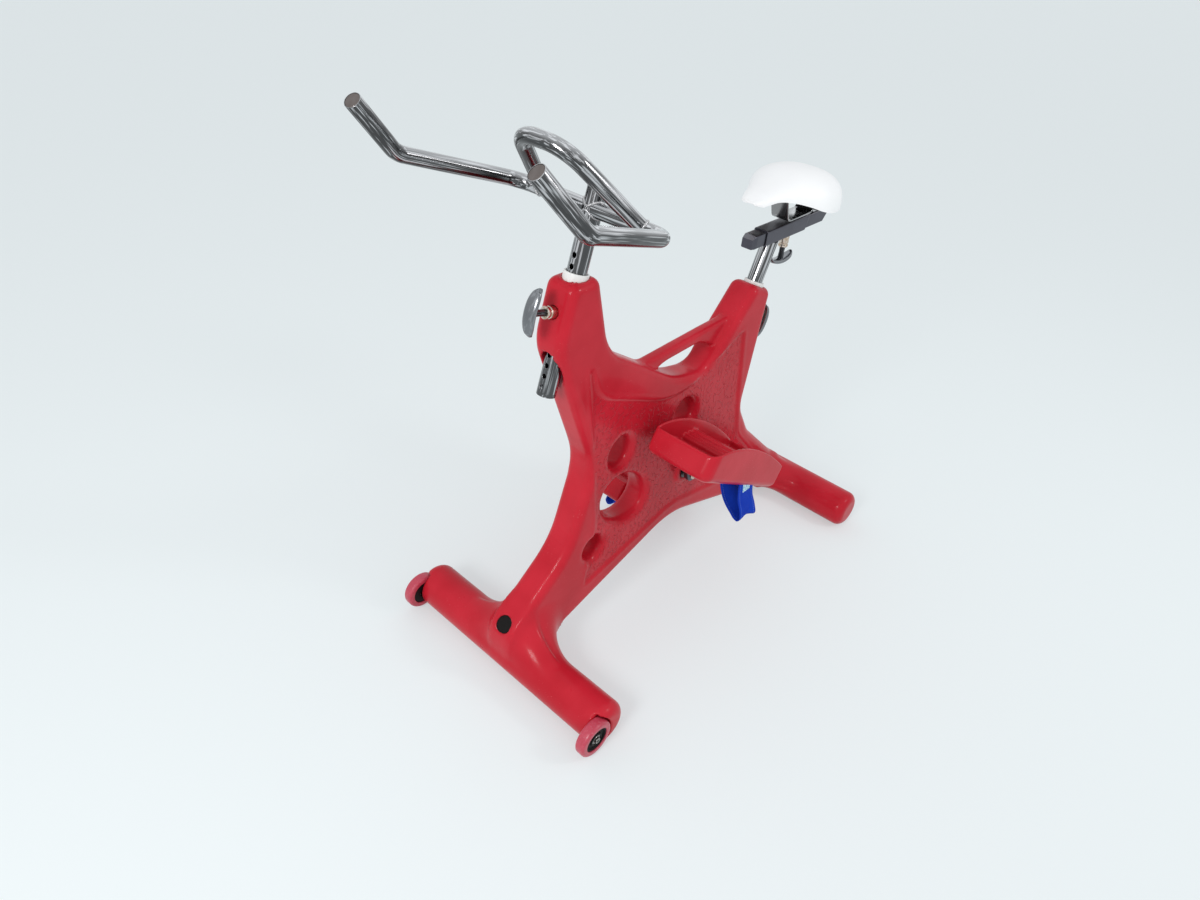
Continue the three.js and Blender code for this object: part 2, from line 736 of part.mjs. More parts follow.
const slideSteps = Array.from({ length: slideForwardSteps + slideRearSteps + 1 },
  (_, i) => i - slideForwardSteps);
const barBore = new THREE.BoxGeometry(3 * barLength, barSize - 2 * barWall,
  barSize - 2 * barWall);
const bracketBoltAt = -bracketFootFrom - bracketFootLength / 2;
const bracketTop = barHalf + gap + bracketThickness;
const boltHole = rod(bracketBoltRadius + gap, 0, bracketTop + overrun, smallSides);
const slideBar = cut(
  across(corners([
    [barFront - capLength, -barHalf], [barFront - capLength, barHalf], [barRear, barHalf],
    [barRear + barSlant, -barHalf],
  ]), -barHalf, barHalf),
  barBore,
  ...slideSteps.map((step) => inSlide(slideHole(sleeveSize), step)),
  boltHole.clone().translate(bracketBoltAt, 0, 0),
);
piece(slide, "slide_bar", slideBar, darkSteel);
const squareAt = (x, half) =>
  [[1, 1], [-1, 1], [-1, -1], [1, -1]].map(([y, z]) => new THREE.Vector3(x, y * half, z * half));
piece(slide, "slide_bar_cap", loft([
  squareAt(barFront - capLength + gap, barHalf),
  squareAt(barFront - capChamfer, barHalf),
  squareAt(barFront, barHalf - capChamfer / 3),
]), darkSteel);

// Saddle: share of its length from the rear, then half width, crown and rim as shares
const saddleShares = [
  [0, 0.3, 0.46, 0.21], [0.03, 0.52, 0.59, 0.1], [0.08, 0.74, 0.73, 0.025],
  [0.18, 0.93, 0.875, -0.01], [0.32, 1, 0.975, 0], [0.46, 0.97, 1, 0.11],
  [0.6, 0.8, 0.94, 0.29], [0.72, 0.6, 0.825, 0.4], [0.84, 0.42, 0.71, 0.44],
  [0.93, 0.33, 0.61, 0.39], [0.98, 0.24, 0.5, 0.36], [1, 0.12, 0.425, 0.375],
];
const saddleX = (share) => saddleNose - saddleLength + share * saddleLength;
const underside = (rim, outShare) =>
  saddleRim + rim * saddleHeight + saddleHollow * (1 - outShare * outShare);
const topTurns = Array.from({ length: 13 }, (_, i) => (i * Math.PI) / 12);
const undersideShares = [-0.75, -0.5, -0.25, 0, 0.25, 0.5, 0.75];
const saddleShell = loft(saddleShares.map(([share, wide, crown, rim]) => {
  const half = wide * saddleHalfWidth;
  const rise = (crown - rim) * saddleHeight;
  const bend = (value, power) => Math.sign(value) * Math.abs(value) ** power;
  const top = topTurns.map((turn) => new THREE.Vector3(
    saddleX(share),
    half * bend(Math.round(Math.cos(turn) / weld) * weld, 0.8),
    saddleRim + rim * saddleHeight + rise * bend(Math.max(0, Math.sin(turn)), 0.75),
  ));
  const under = undersideShares.map((y) =>
    new THREE.Vector3(saddleX(share), y * half, underside(rim, y)));
  return [...top, ...under];
}));
piece(slide, "saddle_shell", saddleShell, whitePlastic);

// A layer that follows the saddle's underside between two depths below it.
function saddleLayer(shares, low, high) {
  return loft(shares.map(([share, wide, , rim]) => {
    const at = (y, drop) =>
      new THREE.Vector3(saddleX(share), y * wide * saddleHalfWidth, underside(rim, y) - drop);
    return [...undersideShares.map((y) => at(y, low)),
      ...undersideShares.map((y) => at(-y, high))];
  }));
}
const panShares = saddleShares.slice(2, 9);
piece(slide, "saddle_pan", saddleLayer(panShares, panThickness, 2 * gap), blackPlastic);

// Bracket: a bent cradle over the sleeve whose foot is bolted to the bar behind it
const footMiddle = barHalf + gap + bracketThickness / 2;
const cradleLow = sleeveHalf + bracketLift + bracketThickness / 2;
const cradle = strip(flatPath([
  [-bracketFrontAt + saddleRim / 2, saddleRim + saddleHeight], [-bracketFrontAt * 2, cradleLow],
  [bracketFrontAt - bracketRearAt, cradleLow], [-bracketRearAt, saddleRim + saddleHeight],
], bracketBend), bracketThickness);
const bracketStepAt = slideForwardSteps * slidePitch + bracketThickness - sleeveRear;
const bracketFoot = strip(flatPath([
  [bracketFrontAt * 3 - bracketRearAt, cradleLow], [-bracketStepAt, cradleLow],
  [-bracketStepAt - bracketThickness, footMiddle],
  [-bracketFootFrom - bracketFootLength, footMiddle],
], bracketThickness), bracketThickness);
const bracketHalf = bracketWidth / 2;
const aboveUnderside = saddleLayer(saddleShares, panThickness + gap, -2 * saddleHeight);
piece(slide, "saddle_bracket", cut(
  join(across(cradle, -bracketHalf, bracketHalf),
    across(bracketFoot, -bracketHalf / 2, bracketHalf / 2)),
  aboveUnderside,
  boltHole.clone().translate(bracketBoltAt, 0, 0),
), steel);
piece(slide, "saddle_bracket_bolt", turned([
  [0, bracketTop - bracketBoltGrip], [bracketBoltRadius, bracketTop - bracketBoltGrip],
  [bracketBoltRadius, bracketTop + gap], [bracketBoltHead, bracketTop + gap],
  [bracketBoltHead, bracketTop + bracketBoltHead], [0, bracketTop + bracketBoltHead],
], smallSides).translate(bracketBoltAt, 0, 0), steel);

// Crank axle, and the crank, pedal, strap, bar and wheel of each side
const armReach = crankInside + crankThickness;
piece(bike, "crank_axle",
  alongY(rod(axleRadius, 2 * gap - armReach, armReach - 2 * gap)).translate(crankX, 0, crankZ),
  steel);

// Side view of a crank arm: two round ends joined by their tangents.
function armOutline() {
  const lean = Math.acos((crankHubRadius - crankEyeRadius) / crankLength);
  const arc = (x, radius, from, to) => Array.from({ length: 9 }, (_, i) => {
    const turn = from + ((to - from) * i) / 8;
    return new THREE.Vector2(x + radius * Math.cos(turn), radius * Math.sin(turn));
  });
  return [...arc(crankLength, crankEyeRadius, -lean, lean),
    ...arc(0, crankHubRadius, lean, 2 * Math.PI - lean)];
}

// Plan of a pedal tray, with its outboard corners well rounded.
function trayPlan(inset, low, high) {
  const near = trayInside + inset;
  const far = trayInside + trayWidth - inset;
  const points = outline([
    [trayFront - inset, near, trayWall], [trayFront - inset, far, trayPlanRounding - inset],
    [inset - trayRear, far, trayPlanRounding - inset], [inset - trayRear, near, trayWall],
  ]);
  const options = { depth: high - low, bevelEnabled: false };
  return new THREE.ExtrudeGeometry(new THREE.Shape(points), options).translate(0, 0, low);
}
const trayLength = trayFront + trayRear;
const archShares = [1, 2, 3, 4, 5, 6, 7, 8, 9].map((step) => step / 10);
// The height of a tray's long walls, as an arch that is steeper at its front.
const archHeight = (share) =>
  trayTop + trayArch * Math.sin(Math.PI * share ** trayArchSkew) ** trayArchFullness;
const traySide = across(outline([
  [trayFront, -trayBottom, trayRounding], [trayFront, trayTop, 0],
  ...archShares.map((share) => [trayFront - share * trayLength, archHeight(share), 0]),
  [-trayRear, trayTop, 0], [-trayRear, -trayBottom, trayRounding],
]), trayInside, trayInside + trayWidth);
const trayHigh = trayTop + trayArch + overrun;
const trayHump = alongY(rod(humpRadius, trayInside + trayWall / 2,
  trayInside + trayWidth - trayWall / 2));
const tray = cut(
  join(
    cut(common(traySide, trayPlan(0, -trayBottom - overrun, trayHigh)),
      trayPlan(trayWall, -trayFloor, trayHigh)),
    trayHump,
  ),
  alongY(rod(pedalBushRadius + gap, crankInside, spindleReach + 2 * gap)),
);
const strapTop = -trayBottom / 2;
const strapBand = strip(flatPath([
  [strapInner, strapTop], [strapOuter + strapSwing, -strapLow], [strapOuter, strapTop],
], strapTurn), strapThickness);
const aboveTray = new THREE.BoxGeometry(2 * trayLength, 2 * trayWidth, 2 * trayBottom);
aboveTray.translate(0, trayInside + trayWidth, -gap);

for (const [side, name] of [[1, "left"], [-1, "right"]]) {
  const half = placed(bike, 0, 0, 0);
  half.scale.y = side;
  piece(half, `handlebar_${name}`, sideBar, steel);
  piece(half, `bar_end_${name}`, endDisc, darkSteel);

  piece(half, `crank_bearing_${name}`, alongY(ring(bearingRadius, axleRadius + gap,
    hubReach - bearingWidth, hubReach)).translate(crankX, 0, crankZ), darkSteel);
  const turn = crankAngle + (side > 0 ? 0 : Math.PI);
  const crank = placed(half, crankX, 0, crankZ);
  crank.rotation.y = -turn;
  const spindle = turned([
    [0, crankInside + gap], [spindleRadius, crankInside + gap], [spindleRadius, armReach + gap],
    [spindleFlange, armReach + gap], [spindleFlange, trayInside - 2 * gap],
    [spindleRadius, trayInside - 2 * gap], [spindleRadius, spindleReach], [0, spindleReach],
  ]);
  piece(crank, `crank_${name}`, cut(
    across(armOutline(), crankInside, armReach),
    alongY(rod(axleRadius + gap, 0, 2 * armReach)),
    alongY(rod(spindleRadius + gap, 0, 2 * armReach)).translate(crankLength, 0, 0),
  ), darkSteel);
  piece(crank, `crank_bolt_${name}`, alongY(turned([
    [0, armReach - gap], [axleRadius, armReach - gap], [axleRadius, armReach + gap],
    [crankBoltRadius, armReach + gap], [crankBoltRadius, armReach + crankBoltHead],
    [0, armReach + crankBoltHead],
  ])), nickel);
  piece(crank, `pedal_spindle_${name}`, alongY(spindle).translate(crankLength, 0, 0), steel);

  const pedal = placed(half, crankX + crankLength * Math.cos(turn), 0,
    crankZ + crankLength * Math.sin(turn));
  pedal.rotation.y = -heelDrop;
  pedal.updateMatrix();
  piece(pedal, `pedal_${name}`, tray, redPlastic);
  piece(pedal, `pedal_bush_${name}`, alongY(ring(pedalBushRadius, spindleRadius + gap,
    trayInside + gap, spindleReach)), clearBush);
  const strapSolid = new THREE.ExtrudeGeometry(new THREE.Shape(strapBand),
    { depth: strapWidth, bevelEnabled: false }).rotateX(Math.PI / 2).rotateZ(Math.PI / 2);
  strapSolid.translate(pedal.position.x - strapBehind - strapWidth / 2, 0, pedal.position.z);
  piece(half, `pedal_strap_${name}`,
    cut(strapSolid, aboveTray.clone().applyMatrix4(pedal.matrix)), blueWebbing);

  const wheel = placed(half, wheelX, wheelY, wheelHeight);
  piece(wheel, `wheel_tyre_${name}`, alongY(turned([
    [tyreInnerRadius, -wheelFace], [wheelRadius - tyreShoulder, -wheelFace],
    [wheelRadius - tyreShoulder / 4, -wheelFace + tyreShoulder / 2],
    [wheelRadius, -wheelFace + tyreShoulder], [wheelRadius, wheelFace - tyreShoulder],
    [wheelRadius - tyreShoulder / 4, wheelFace - tyreShoulder / 2],
    [wheelRadius - tyreShoulder, wheelFace], [tyreInnerRadius, wheelFace],
    [tyreInnerRadius, -wheelFace],
  ])), redTyre);
  piece(wheel, `wheel_hub_${name}`, alongY(ring(tyreInnerRadius - gap, wheelBearingRadius + gap,
    hubInset - wheelFace, wheelFace - hubInset)), blackPlastic);
  const bearingHalf = wheelBearingWidth / 2;
  piece(wheel, `wheel_bearing_${name}`, alongY(ring(wheelBearingRadius, wheelBoltRadius + gap,
    -bearingHalf, bearingHalf, smallSides)), steel);
  piece(wheel, `wheel_bolt_${name}`, alongY(turned([
    [0, gap - wheelFace - wheelBoltGrip], [wheelBoltRadius, gap - wheelFace - wheelBoltGrip],
    [wheelBoltRadius, bearingHalf + gap], [wheelBoltHead, bearingHalf + gap],
    [wheelBoltHead, bearingHalf + wheelBoltHeadLength], [0, bearingHalf + wheelBoltHeadLength],
  ], smallSides)), steel);
}

// The part's origin is on the floor under the middle of the whole bike.
const part = new THREE.Group();
part.add(bike);
bike.updateWorldMatrix(true, true);
bike.position.x = -new THREE.Box3().setFromObject(bike, true).getCenter(new THREE.Vector3()).x;
export default part;
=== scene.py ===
import math

import bmesh
import bpy
import numpy as np
from mathutils import Matrix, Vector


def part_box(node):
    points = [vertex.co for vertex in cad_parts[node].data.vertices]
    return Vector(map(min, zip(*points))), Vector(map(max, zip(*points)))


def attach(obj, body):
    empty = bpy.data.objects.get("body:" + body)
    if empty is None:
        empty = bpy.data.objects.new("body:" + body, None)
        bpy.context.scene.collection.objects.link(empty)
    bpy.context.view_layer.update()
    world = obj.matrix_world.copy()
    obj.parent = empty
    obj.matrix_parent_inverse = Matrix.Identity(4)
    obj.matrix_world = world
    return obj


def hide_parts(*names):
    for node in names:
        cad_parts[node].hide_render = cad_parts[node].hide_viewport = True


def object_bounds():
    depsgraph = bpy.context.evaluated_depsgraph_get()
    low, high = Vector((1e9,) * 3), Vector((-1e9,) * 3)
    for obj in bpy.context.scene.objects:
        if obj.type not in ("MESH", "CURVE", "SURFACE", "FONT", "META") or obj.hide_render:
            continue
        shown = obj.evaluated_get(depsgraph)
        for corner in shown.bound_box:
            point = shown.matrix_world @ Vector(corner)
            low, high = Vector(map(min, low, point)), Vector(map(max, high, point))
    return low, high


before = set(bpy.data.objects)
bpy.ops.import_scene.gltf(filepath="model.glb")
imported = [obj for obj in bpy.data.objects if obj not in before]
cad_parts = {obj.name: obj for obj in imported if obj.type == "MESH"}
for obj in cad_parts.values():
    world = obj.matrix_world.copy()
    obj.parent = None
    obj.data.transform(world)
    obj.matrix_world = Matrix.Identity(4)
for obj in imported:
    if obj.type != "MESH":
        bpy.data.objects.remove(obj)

cad_low, cad_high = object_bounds()
scene = bpy.context.scene

# The photograph was taken from in front of the bike and to its left, at head height. The camera
# was solved from the bike's own straight lines, so its place and lens are real.
CAMERA_PLACE = (1.27595, 0.89930, 1.48064)
CAMERA_YAW, CAMERA_PITCH, CAMERA_ROLL = np.radians((-140.0, -34.54, 5.17))
CAMERA_LENS = 25.32
CAMERA_SHIFT = -1 / 60
CAMERA_FAR = 200


def unit(vectors):
    """Vectors brought to length 1."""
    return vectors / np.maximum(np.linalg.norm(vectors, axis=-1, keepdims=True), 1e-12)


def camera_axes(yaw, pitch, roll):
    """The camera's right, up and back axes: it looks along yaw and pitch, then rolls."""
    ahead = np.array((np.cos(pitch) * np.cos(yaw), np.cos(pitch) * np.sin(yaw), np.sin(pitch)))
    level = unit(np.cross(ahead, (0, 0, 1)))
    right = np.cos(roll) * level + np.sin(roll) * np.cross(level, ahead)
    return np.array((right, np.cross(right, ahead), -ahead))


def set_up(name, data, place, axes):
    """Adds a camera or a lamp, whose axes are the rows given."""
    item = bpy.data.objects.new(name, data)
    scene.collection.objects.link(item)
    matrix = np.eye(4)
    matrix[:3, :3] = axes.T
    matrix[:3, 3] = place
    item.matrix_world = Matrix(matrix.tolist())
    return item


camera = set_up("camera", bpy.data.cameras.new("camera"), CAMERA_PLACE,
                camera_axes(CAMERA_YAW, CAMERA_PITCH, CAMERA_ROLL))
camera.data.lens = CAMERA_LENS
camera.data.shift_y = CAMERA_SHIFT
camera.data.clip_end = CAMERA_FAR
scene.camera = camera
scene.view_settings.view_transform = "Standard"


# The light is a pale room with a wide soft lamp in front of the bike and a weaker one behind
# it. Each material is a tree of nodes, written here as sums on its sockets.
def tint(red, green, blue):
    """A colour of 0 to 255 as the light it stands for, by the usual gamma curve."""
    value = np.array((red, green, blue)) / 255
    light = np.where(value <= 0.04045, value / 12.92, ((value + 0.055) / 1.055) ** 2.4)
    return (*light.tolist(), 1)


class Shade:
    """A socket of a material's nodes. Sums on it add Math nodes."""

    def __init__(self, tree, socket=None):
        self.tree, self.socket = tree, socket

    def node(self, kind, settings=None, sockets=None, output=0):
        """Adds a node: its settings first, then its sockets' values or links."""
        node = self.tree.nodes.new("ShaderNode" + kind)
        for name, value in (settings or {}).items():
            if name == "stops":
                ramp = node.color_ramp.elements
                while len(ramp) < len(value):
                    ramp.new(1)
                for stop, (position, colour) in zip(ramp, value):
                    stop.position, stop.color = position, colour
            else:
                setattr(node, name, value)
        for name, value in (sockets or {}).items():
            if isinstance(value, Shade):
                self.tree.links.new(value.socket, node.inputs[name])
            else:
                node.inputs[name].default_value = value
        return Shade(self.tree, node.outputs[output] if len(node.outputs) else None)

    def math(self, operation, *values):
        """A Math node on this socket and more values."""
        return self.node("Math", {"operation": operation}, dict(enumerate((self, *values))))

    def __add__(self, other):
        return self.math("ADD", other)

    def __mul__(self, other):
        return self.math("MULTIPLY", other)

    def __sub__(self, other):
        return self.math("SUBTRACT", other)

    def __rsub__(self, other):
        return self.math("MULTIPLY", -1).math("ADD", other)

    def __truediv__(self, other):
        return self.math("DIVIDE", other)

    __radd__ = __add__
    __rmul__ = __mul__

    def step(self, low, high):
        """0 below low and 1 above high, with a smooth rise between."""
        return self.node("MapRange", {"interpolation_type": "SMOOTHSTEP"},
                         {"Value": self, "From Min": low, "From Max": high})

    def mix(self, low, high):
        """The colour low where this is 0 and high where it is 1."""
        return self.node("Mix", {"data_type": "RGBA"}, {0: self, 6: low, 7: high}, output=2)

    def split(self, axis):
        """One coordinate of a vector."""
        return self.node("SeparateXYZ", sockets={0: self}, output="XYZ".index(axis))


def new_material(name):
    """A material's bare tree, with Object coordinates as its first socket."""
    material = bpy.data.materials.new(name)
    material.use_nodes = True
    tree = material.node_tree
    tree.nodes.clear()
    return material, Shade(tree).node("TexCoord", output=3)


def noise(place, scale, detail=2.0, roughness=0.5):
    """Soft random cloud of 0 to 1."""
    sockets = {"Vector": place, "Scale": scale, "Detail": detail, "Roughness": roughness}
    return place.node("TexNoise", sockets=sockets)


def bumped(height, distance, normal=None):
    """A normal that leans with a height field, given in metres at distance."""
    sockets = {"Height": height, "Distance": distance, "Strength": 1.0}
    if normal:
        sockets["Normal"] = normal
    return height.node("Bump", sockets=sockets)


def finished(material, place, sockets):
    """Ends a material in one Principled shader."""
    shader = place.node("BsdfPrincipled", sockets=sockets)
    place.node("OutputMaterial", sockets={"Surface": shader})
    return material


LAMPS = (("front_lamp", (2.7, 0.5, 2.0), 0.8, 34), ("rear_lamp", (-1.2, 2.3, 2.2), 0.5, 15))
FLOOR_SIZE = 30.0
FLOOR_COLOUR, FLOOR_CLOUD = tint(232, 237, 237), tint(221, 228, 229)
FLOOR_UNSEEN, FLOOR_GLOW = tint(178, 183, 184), tint(168, 173, 174)
ROOM_COLOUR = tint(232, 236, 238)
# The light that the room sends from below, from the sides and from above
ROOM_STOPS = (
    (0.0, (0.5, 0.5, 0.5, 1)), (0.5, (0.76, 0.78, 0.80, 1)), (1.0, (0.66, 0.68, 0.70, 1)))


def lamp(name, place, size, energy):
    """A square lamp that faces the middle of the bike."""
    light = bpy.data.lights.new(name, "AREA")
    light.shape, light.size, light.energy = "SQUARE", size, energy
    back = unit(np.array(place) - (np.array(cad_low) + np.array(cad_high)) / 2)
    side = unit(np.cross((0, 0, 1), back))
    set_up(name, light, place, np.array((side, np.cross(back, side), back)))


for settings in LAMPS:
    lamp(*settings)


def in_view(place):
    """1 for what the camera sees, directly or in metal or glass."""
    direct, mirrored, passed = (place.node("LightPath", output=ray) for ray in (0, 3, 6))
    return direct.math("MAXIMUM", mirrored).math("MAXIMUM", passed)


world = bpy.data.worlds.new("room")
scene.world = world
world.use_nodes = True
world.node_tree.nodes.clear()
room = Shade(world.node_tree).node("TexCoord", output=0)
room_light = room.node("ValToRGB", {"stops": ROOM_STOPS}, {0: room.split("Z") * 0.5 + 0.5})
backdrop = in_view(room).mix(room_light, ROOM_COLOUR)
room.node("OutputWorld", sockets={
    "Surface": room.node("Background", sockets={"Color": backdrop, "Strength": 1.0})})

floor_material, place = new_material("floor_finish")
floor_seen = noise(place, 1.3, 3.0).mix(FLOOR_CLOUD, FLOOR_COLOUR)
finished(floor_material, place, {
    "Base Color": in_view(place).mix(floor_seen, FLOOR_UNSEEN),
    "Emission Color": in_view(place).mix((0, 0, 0, 1), FLOOR_GLOW),
    "Emission Strength": 1.0, "Roughness": 0.9, "Specular IOR Level": 0.1})
floor_mesh = bpy.data.meshes.new("floor")
floor_corners = np.array(((-1, -1, 0), (1, -1, 0), (1, 1, 0), (-1, 1, 0))) * FLOOR_SIZE
floor_mesh.from_pydata(floor_corners.tolist(), [], [(0, 1, 2, 3)])
floor = bpy.data.objects.new("floor", floor_mesh)
scene.collection.objects.link(floor)
floor_mesh.materials.append(floor_material)

# The frame body is one hollow moulding of red polyethylene: a plate 72 mm thick with a neck for
# each post, a carrying strut, round cross feet and five openings. Its side panels lie a little
# lower than their border and carry a leaf grain. It is worked out as a solid's depth.
HALF_BASE = 0.488
NECK_HEIGHT = 0.882
BODY_HALF = 0.036
BODY_ROUNDING = 0.018
FOOT_RADIUS = 0.048
FOOT_HEIGHT = 0.047
FOOT_ROUNDING = 0.022
# Half length, then the flare's reach, the way it faces and its spread, both in radians
FRONT_FOOT = (0.280, 0.100, 0.711 * np.pi, 0.611 * np.pi)
REAR_FOOT = (0.2725, 0.085, 0.17 * np.pi, 0.42 * np.pi)
FLARE_LENGTH, FLARE_OVERLAP = 0.104, 0.003
# How much fuller the flare is on its lower side, from which angle on, and over what angle
FLARE_FULLER, FLARE_FROM, FLARE_OVER = 0.3, 0.1 * np.pi, 0.2
RECESS_DEPTH, RECESS_SLOPE = 0.0036, 0.008
RIDGE_HEIGHT, RIDGE_WIDTH = 0.0007, 0.004
STRUT_HALF = 0.014
STRUT_ROUNDING = 0.009
HOLE_EDGE, STRUT_FILLET, FOOT_FILLET, HUB_FILLET = 0.004, 0.008, 0.012, 0.006
GUIDE_EDGE, SEAT_EDGE = 0.003, 0.002
NET_STEP = 0.0045
CHART_STEP, CHART_MARGIN = 0.0015, 0.03

body_low, body_high = (np.array(corner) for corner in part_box("frame_body"))
MIDDLE_X = body_low[0] + FOOT_RADIUS + HALF_BASE

# Corners as shares of half the foot spacing and of the neck height, with each corner's rounding
BODY_SHARES = (
    (-0.963, 0.025, 0), (0.041, 0.2, 0.227), (0.963, 0.034, 0), (1.086, 0.045, 0),
    (1.086, 0.151, 0.043), (0.758, 0.305, 0.204), (0.639, 0.523, 0.17), (0.889, 0.87, 0.113),
    (0.826, 1, 0.023), (0.689, 1, 0.023), (0.602, 0.816, 0.147), (0.127, 0.65, 0.227),
    (-0.082, 0.626, 0.068), (-0.381, 0.808, 0.023), (-0.517, 0.779, 0.023),
    (-0.453, 0.437, 0.102), (-0.584, 0.323, 0.17), (-1.025, 0.102, 0), (-1.066, 0.057, 0),
)
STRUT_SHARES = (
    (0.441, 0.72, 0), (-0.082, 0.733, 0.336), (-0.328, 0.737, 0), (-0.328, 0.675, 0),
    (-0.154, 0.676, 0.024), (-0.051, 0.703, 0.064), (0.2, 0.697, 0.109), (0.385, 0.65, 0),
)
RECESS_SHARES = (
    (0.730, 0.845, 0.006), (0.640, 0.715, 0.110), (0.100, 0.585, 0.260), (-0.34, 0.703, 0.014),
    (-0.41, 0.465, 0.091), (-0.461, 0.34, 0.091), (-0.676, 0.215, 0.017), (-0.645, 0.17, 0.017),
    (0.041, 0.24, 0.17), (0.652, 0.154, 0.011), (0.598, 0.34, 0.34),
)
# Middle x and z, half length and half width, and tilt in half turns
HOLE_SHARES = (
    (0.467, 0.52, 0.042, 0.036, 0.5), (0.406, 0.366, 0.094, 0.064, 0.22),
    (0.594, 0.264, 0.036, 0.032, 0.3), (0.024, 0.527, 0.044, 0.036, 0.2),
)


def rounded_corners(places, radii, closed=True, steps=9):
    """A path whose corners are arcs that touch both sides, in any number of dimensions."""
    places = np.asarray(places, float)
    radii = np.maximum(np.broadcast_to(radii, len(places)), 1e-7)[:, None]
    back = unit(np.roll(places, 1, axis=0) - places)
    ahead = unit(np.roll(places, -1, axis=0) - places)
    half = np.arccos(np.clip(np.sum(back * ahead, axis=1, keepdims=True), -0.999999, 1)) / 2
    centre = places + unit(back + ahead) * radii / np.sin(half)
    start = places + back * radii / np.tan(half) - centre
    end = places + ahead * radii / np.tan(half) - centre
    turn = (np.pi - 2 * half)[:, None]
    share = np.linspace(0, 1, steps)[None, :, None]
    weights = np.sin((1 - share) * turn) / np.sin(turn), np.sin(share * turn) / np.sin(turn)
    arcs = centre[:, None] + weights[0] * start[:, None] + weights[1] * end[:, None]
    if closed:
        return arcs.reshape(-1, places.shape[1])
    inner = arcs[1:-1].reshape(-1, places.shape[1])
    return np.concatenate((places[:1], inner, places[-1:]))


def body_outline(shares):
    """Corners in shares of half the foot spacing and of the neck height, as an outline."""
    shares = np.array(shares)
    places = shares[:, :2] * (HALF_BASE, NECK_HEIGHT) + (MIDDLE_X, 0)
    return rounded_corners(places, shares[:, 2] * NECK_HEIGHT)


def once_round(count):
    """Angles once round a circle."""
    return np.linspace(0, 2 * np.pi, count, endpoint=False)


def oval_outline(x, z, half_length, half_width, tilt):
    """An ellipse turned by its tilt."""
    turn = once_round(48)
    along, over = half_length * NECK_HEIGHT * np.cos(turn), half_width * NECK_HEIGHT * np.sin(turn)
    lean = tilt * np.pi
    return np.stack((
        x * HALF_BASE + MIDDLE_X + along * np.cos(lean) - over * np.sin(lean),
        z * NECK_HEIGHT + along * np.sin(lean) + over * np.cos(lean)), axis=1)


def outline_depth(x, z, outline):
    """Distance to the nearest side of an outline, less than zero inside it, where a line
    to the right crosses it an odd number of times."""
    nearest = np.full(np.broadcast_shapes(x.shape, z.shape), np.inf)
    sign = np.ones_like(nearest)
    for (x0, z0), (x1, z1) in zip(outline, np.roll(outline, -1, axis=0)):
        run, rise = x1 - x0, z1 - z0
        share = ((x - x0) * run + (z - z0) * rise) / (run * run + rise * rise + 1e-16)
        share = np.clip(share, 0, 1)
        nearest = np.minimum(nearest, (x - x0 - share * run) ** 2 + (z - z0 - share * rise) ** 2)
        level = (z0 > z) != (z1 > z)
        if level.any():
            sign = np.where(level & (x < x0 + (z - z0) * run / rise), -sign, sign)
    return np.sqrt(nearest) * sign


def charted(low, high, step, depth_at):
    """A plane function kept on a square grid and read back by straight interpolation."""
    xs, zs = (np.arange(start, stop + step, step) for start, stop in zip(low, high))
    chart = depth_at(xs[:, None], zs[None, :])

    def read(x, z):
        across = np.clip((x - low[0]) / step, 0, len(xs) - 1.001)
        up = np.clip((z - low[1]) / step, 0, len(zs) - 1.001)
        column, row = across.astype(int), up.astype(int)
        across, up = across - column, up - row
        below = chart[column, row] * (1 - across) + chart[column + 1, row] * across
        above = chart[column, row + 1] * (1 - across) + chart[column + 1, row + 1] * across
        return below * (1 - up) + above * up

    return read


def rounded_slab(over_edge, over_face, rounding):
    """Depth in a solid bounded by two distances, whose shared edge is rounded over."""
    edge, face = over_edge + rounding, over_face + rounding
    corner = np.hypot(np.maximum(edge, 0), np.maximum(face, 0))
    return corner + np.minimum(np.maximum(edge, face), 0) - rounding


def joined(one, other, width):
    """Union of two solids with a soft fillet of that width."""
    share = np.maximum(width - np.abs(one - other), 0) / width
    return np.minimum(one, other) - share * share * width / 4


def carved(solid, tool, width):
    """A solid less a tool, with the edge between them softened."""
    return -joined(-solid, tool, width)


def smooth_step(value):
    """0 below 0, 1 above 1, and smooth between."""
    value = np.clip(value, 0, 1)
    return value * value * (3 - 2 * value)


def foot_depth(x, y, z, middle, half_length, reach, facing, spread):
    """A round bar with rounded ends, which swells towards the plate in a hollow curve."""
    angle = np.arctan2(z - FOOT_HEIGHT, x - middle) - facing
    off = np.arctan2(np.sin(angle), np.cos(angle))
    share = np.clip((np.abs(y) - BODY_HALF + FLARE_OVERLAP) / FLARE_LENGTH, 0, 1)
    fullness = 1 - FLARE_FULLER * smooth_step((-off - FLARE_FROM) / FLARE_OVER)
    hollow = np.maximum(1 - np.sqrt(1 - (1 - share) ** 2), 0) ** fullness
    swell = smooth_step(1 - np.abs(off) / spread) * hollow
    radial = np.hypot(x - middle, z - FOOT_HEIGHT) - FOOT_RADIUS - reach * swell
    return rounded_slab(radial, np.abs(y) - half_length, FOOT_ROUNDING)


def rod_depth(x, y, z, start, along, radius, low, high):
    """A round rod that runs from low to high along a line."""
    offset = (x - start[0], y - start[1], z - start[2])
    reach = sum(part * way for part, way in zip(offset, along))
    radial = np.sqrt(np.maximum(sum(part * part for part in offset) - reach * reach, 0)) - radius
    return np.maximum(radial, np.maximum(low - reach, reach - high))


# The two posts stand in frames whose origin is where the pull pin crosses the post's axis.
POST_RADIUS = 0.018
GUIDE_RADIUS = 0.023
FRONT_LEAN, REAR_LEAN = np.radians((15.52, 21.4))
FRONT_PIN_DEPTH, REAR_PIN_DEPTH = 0.0645, 0.0855
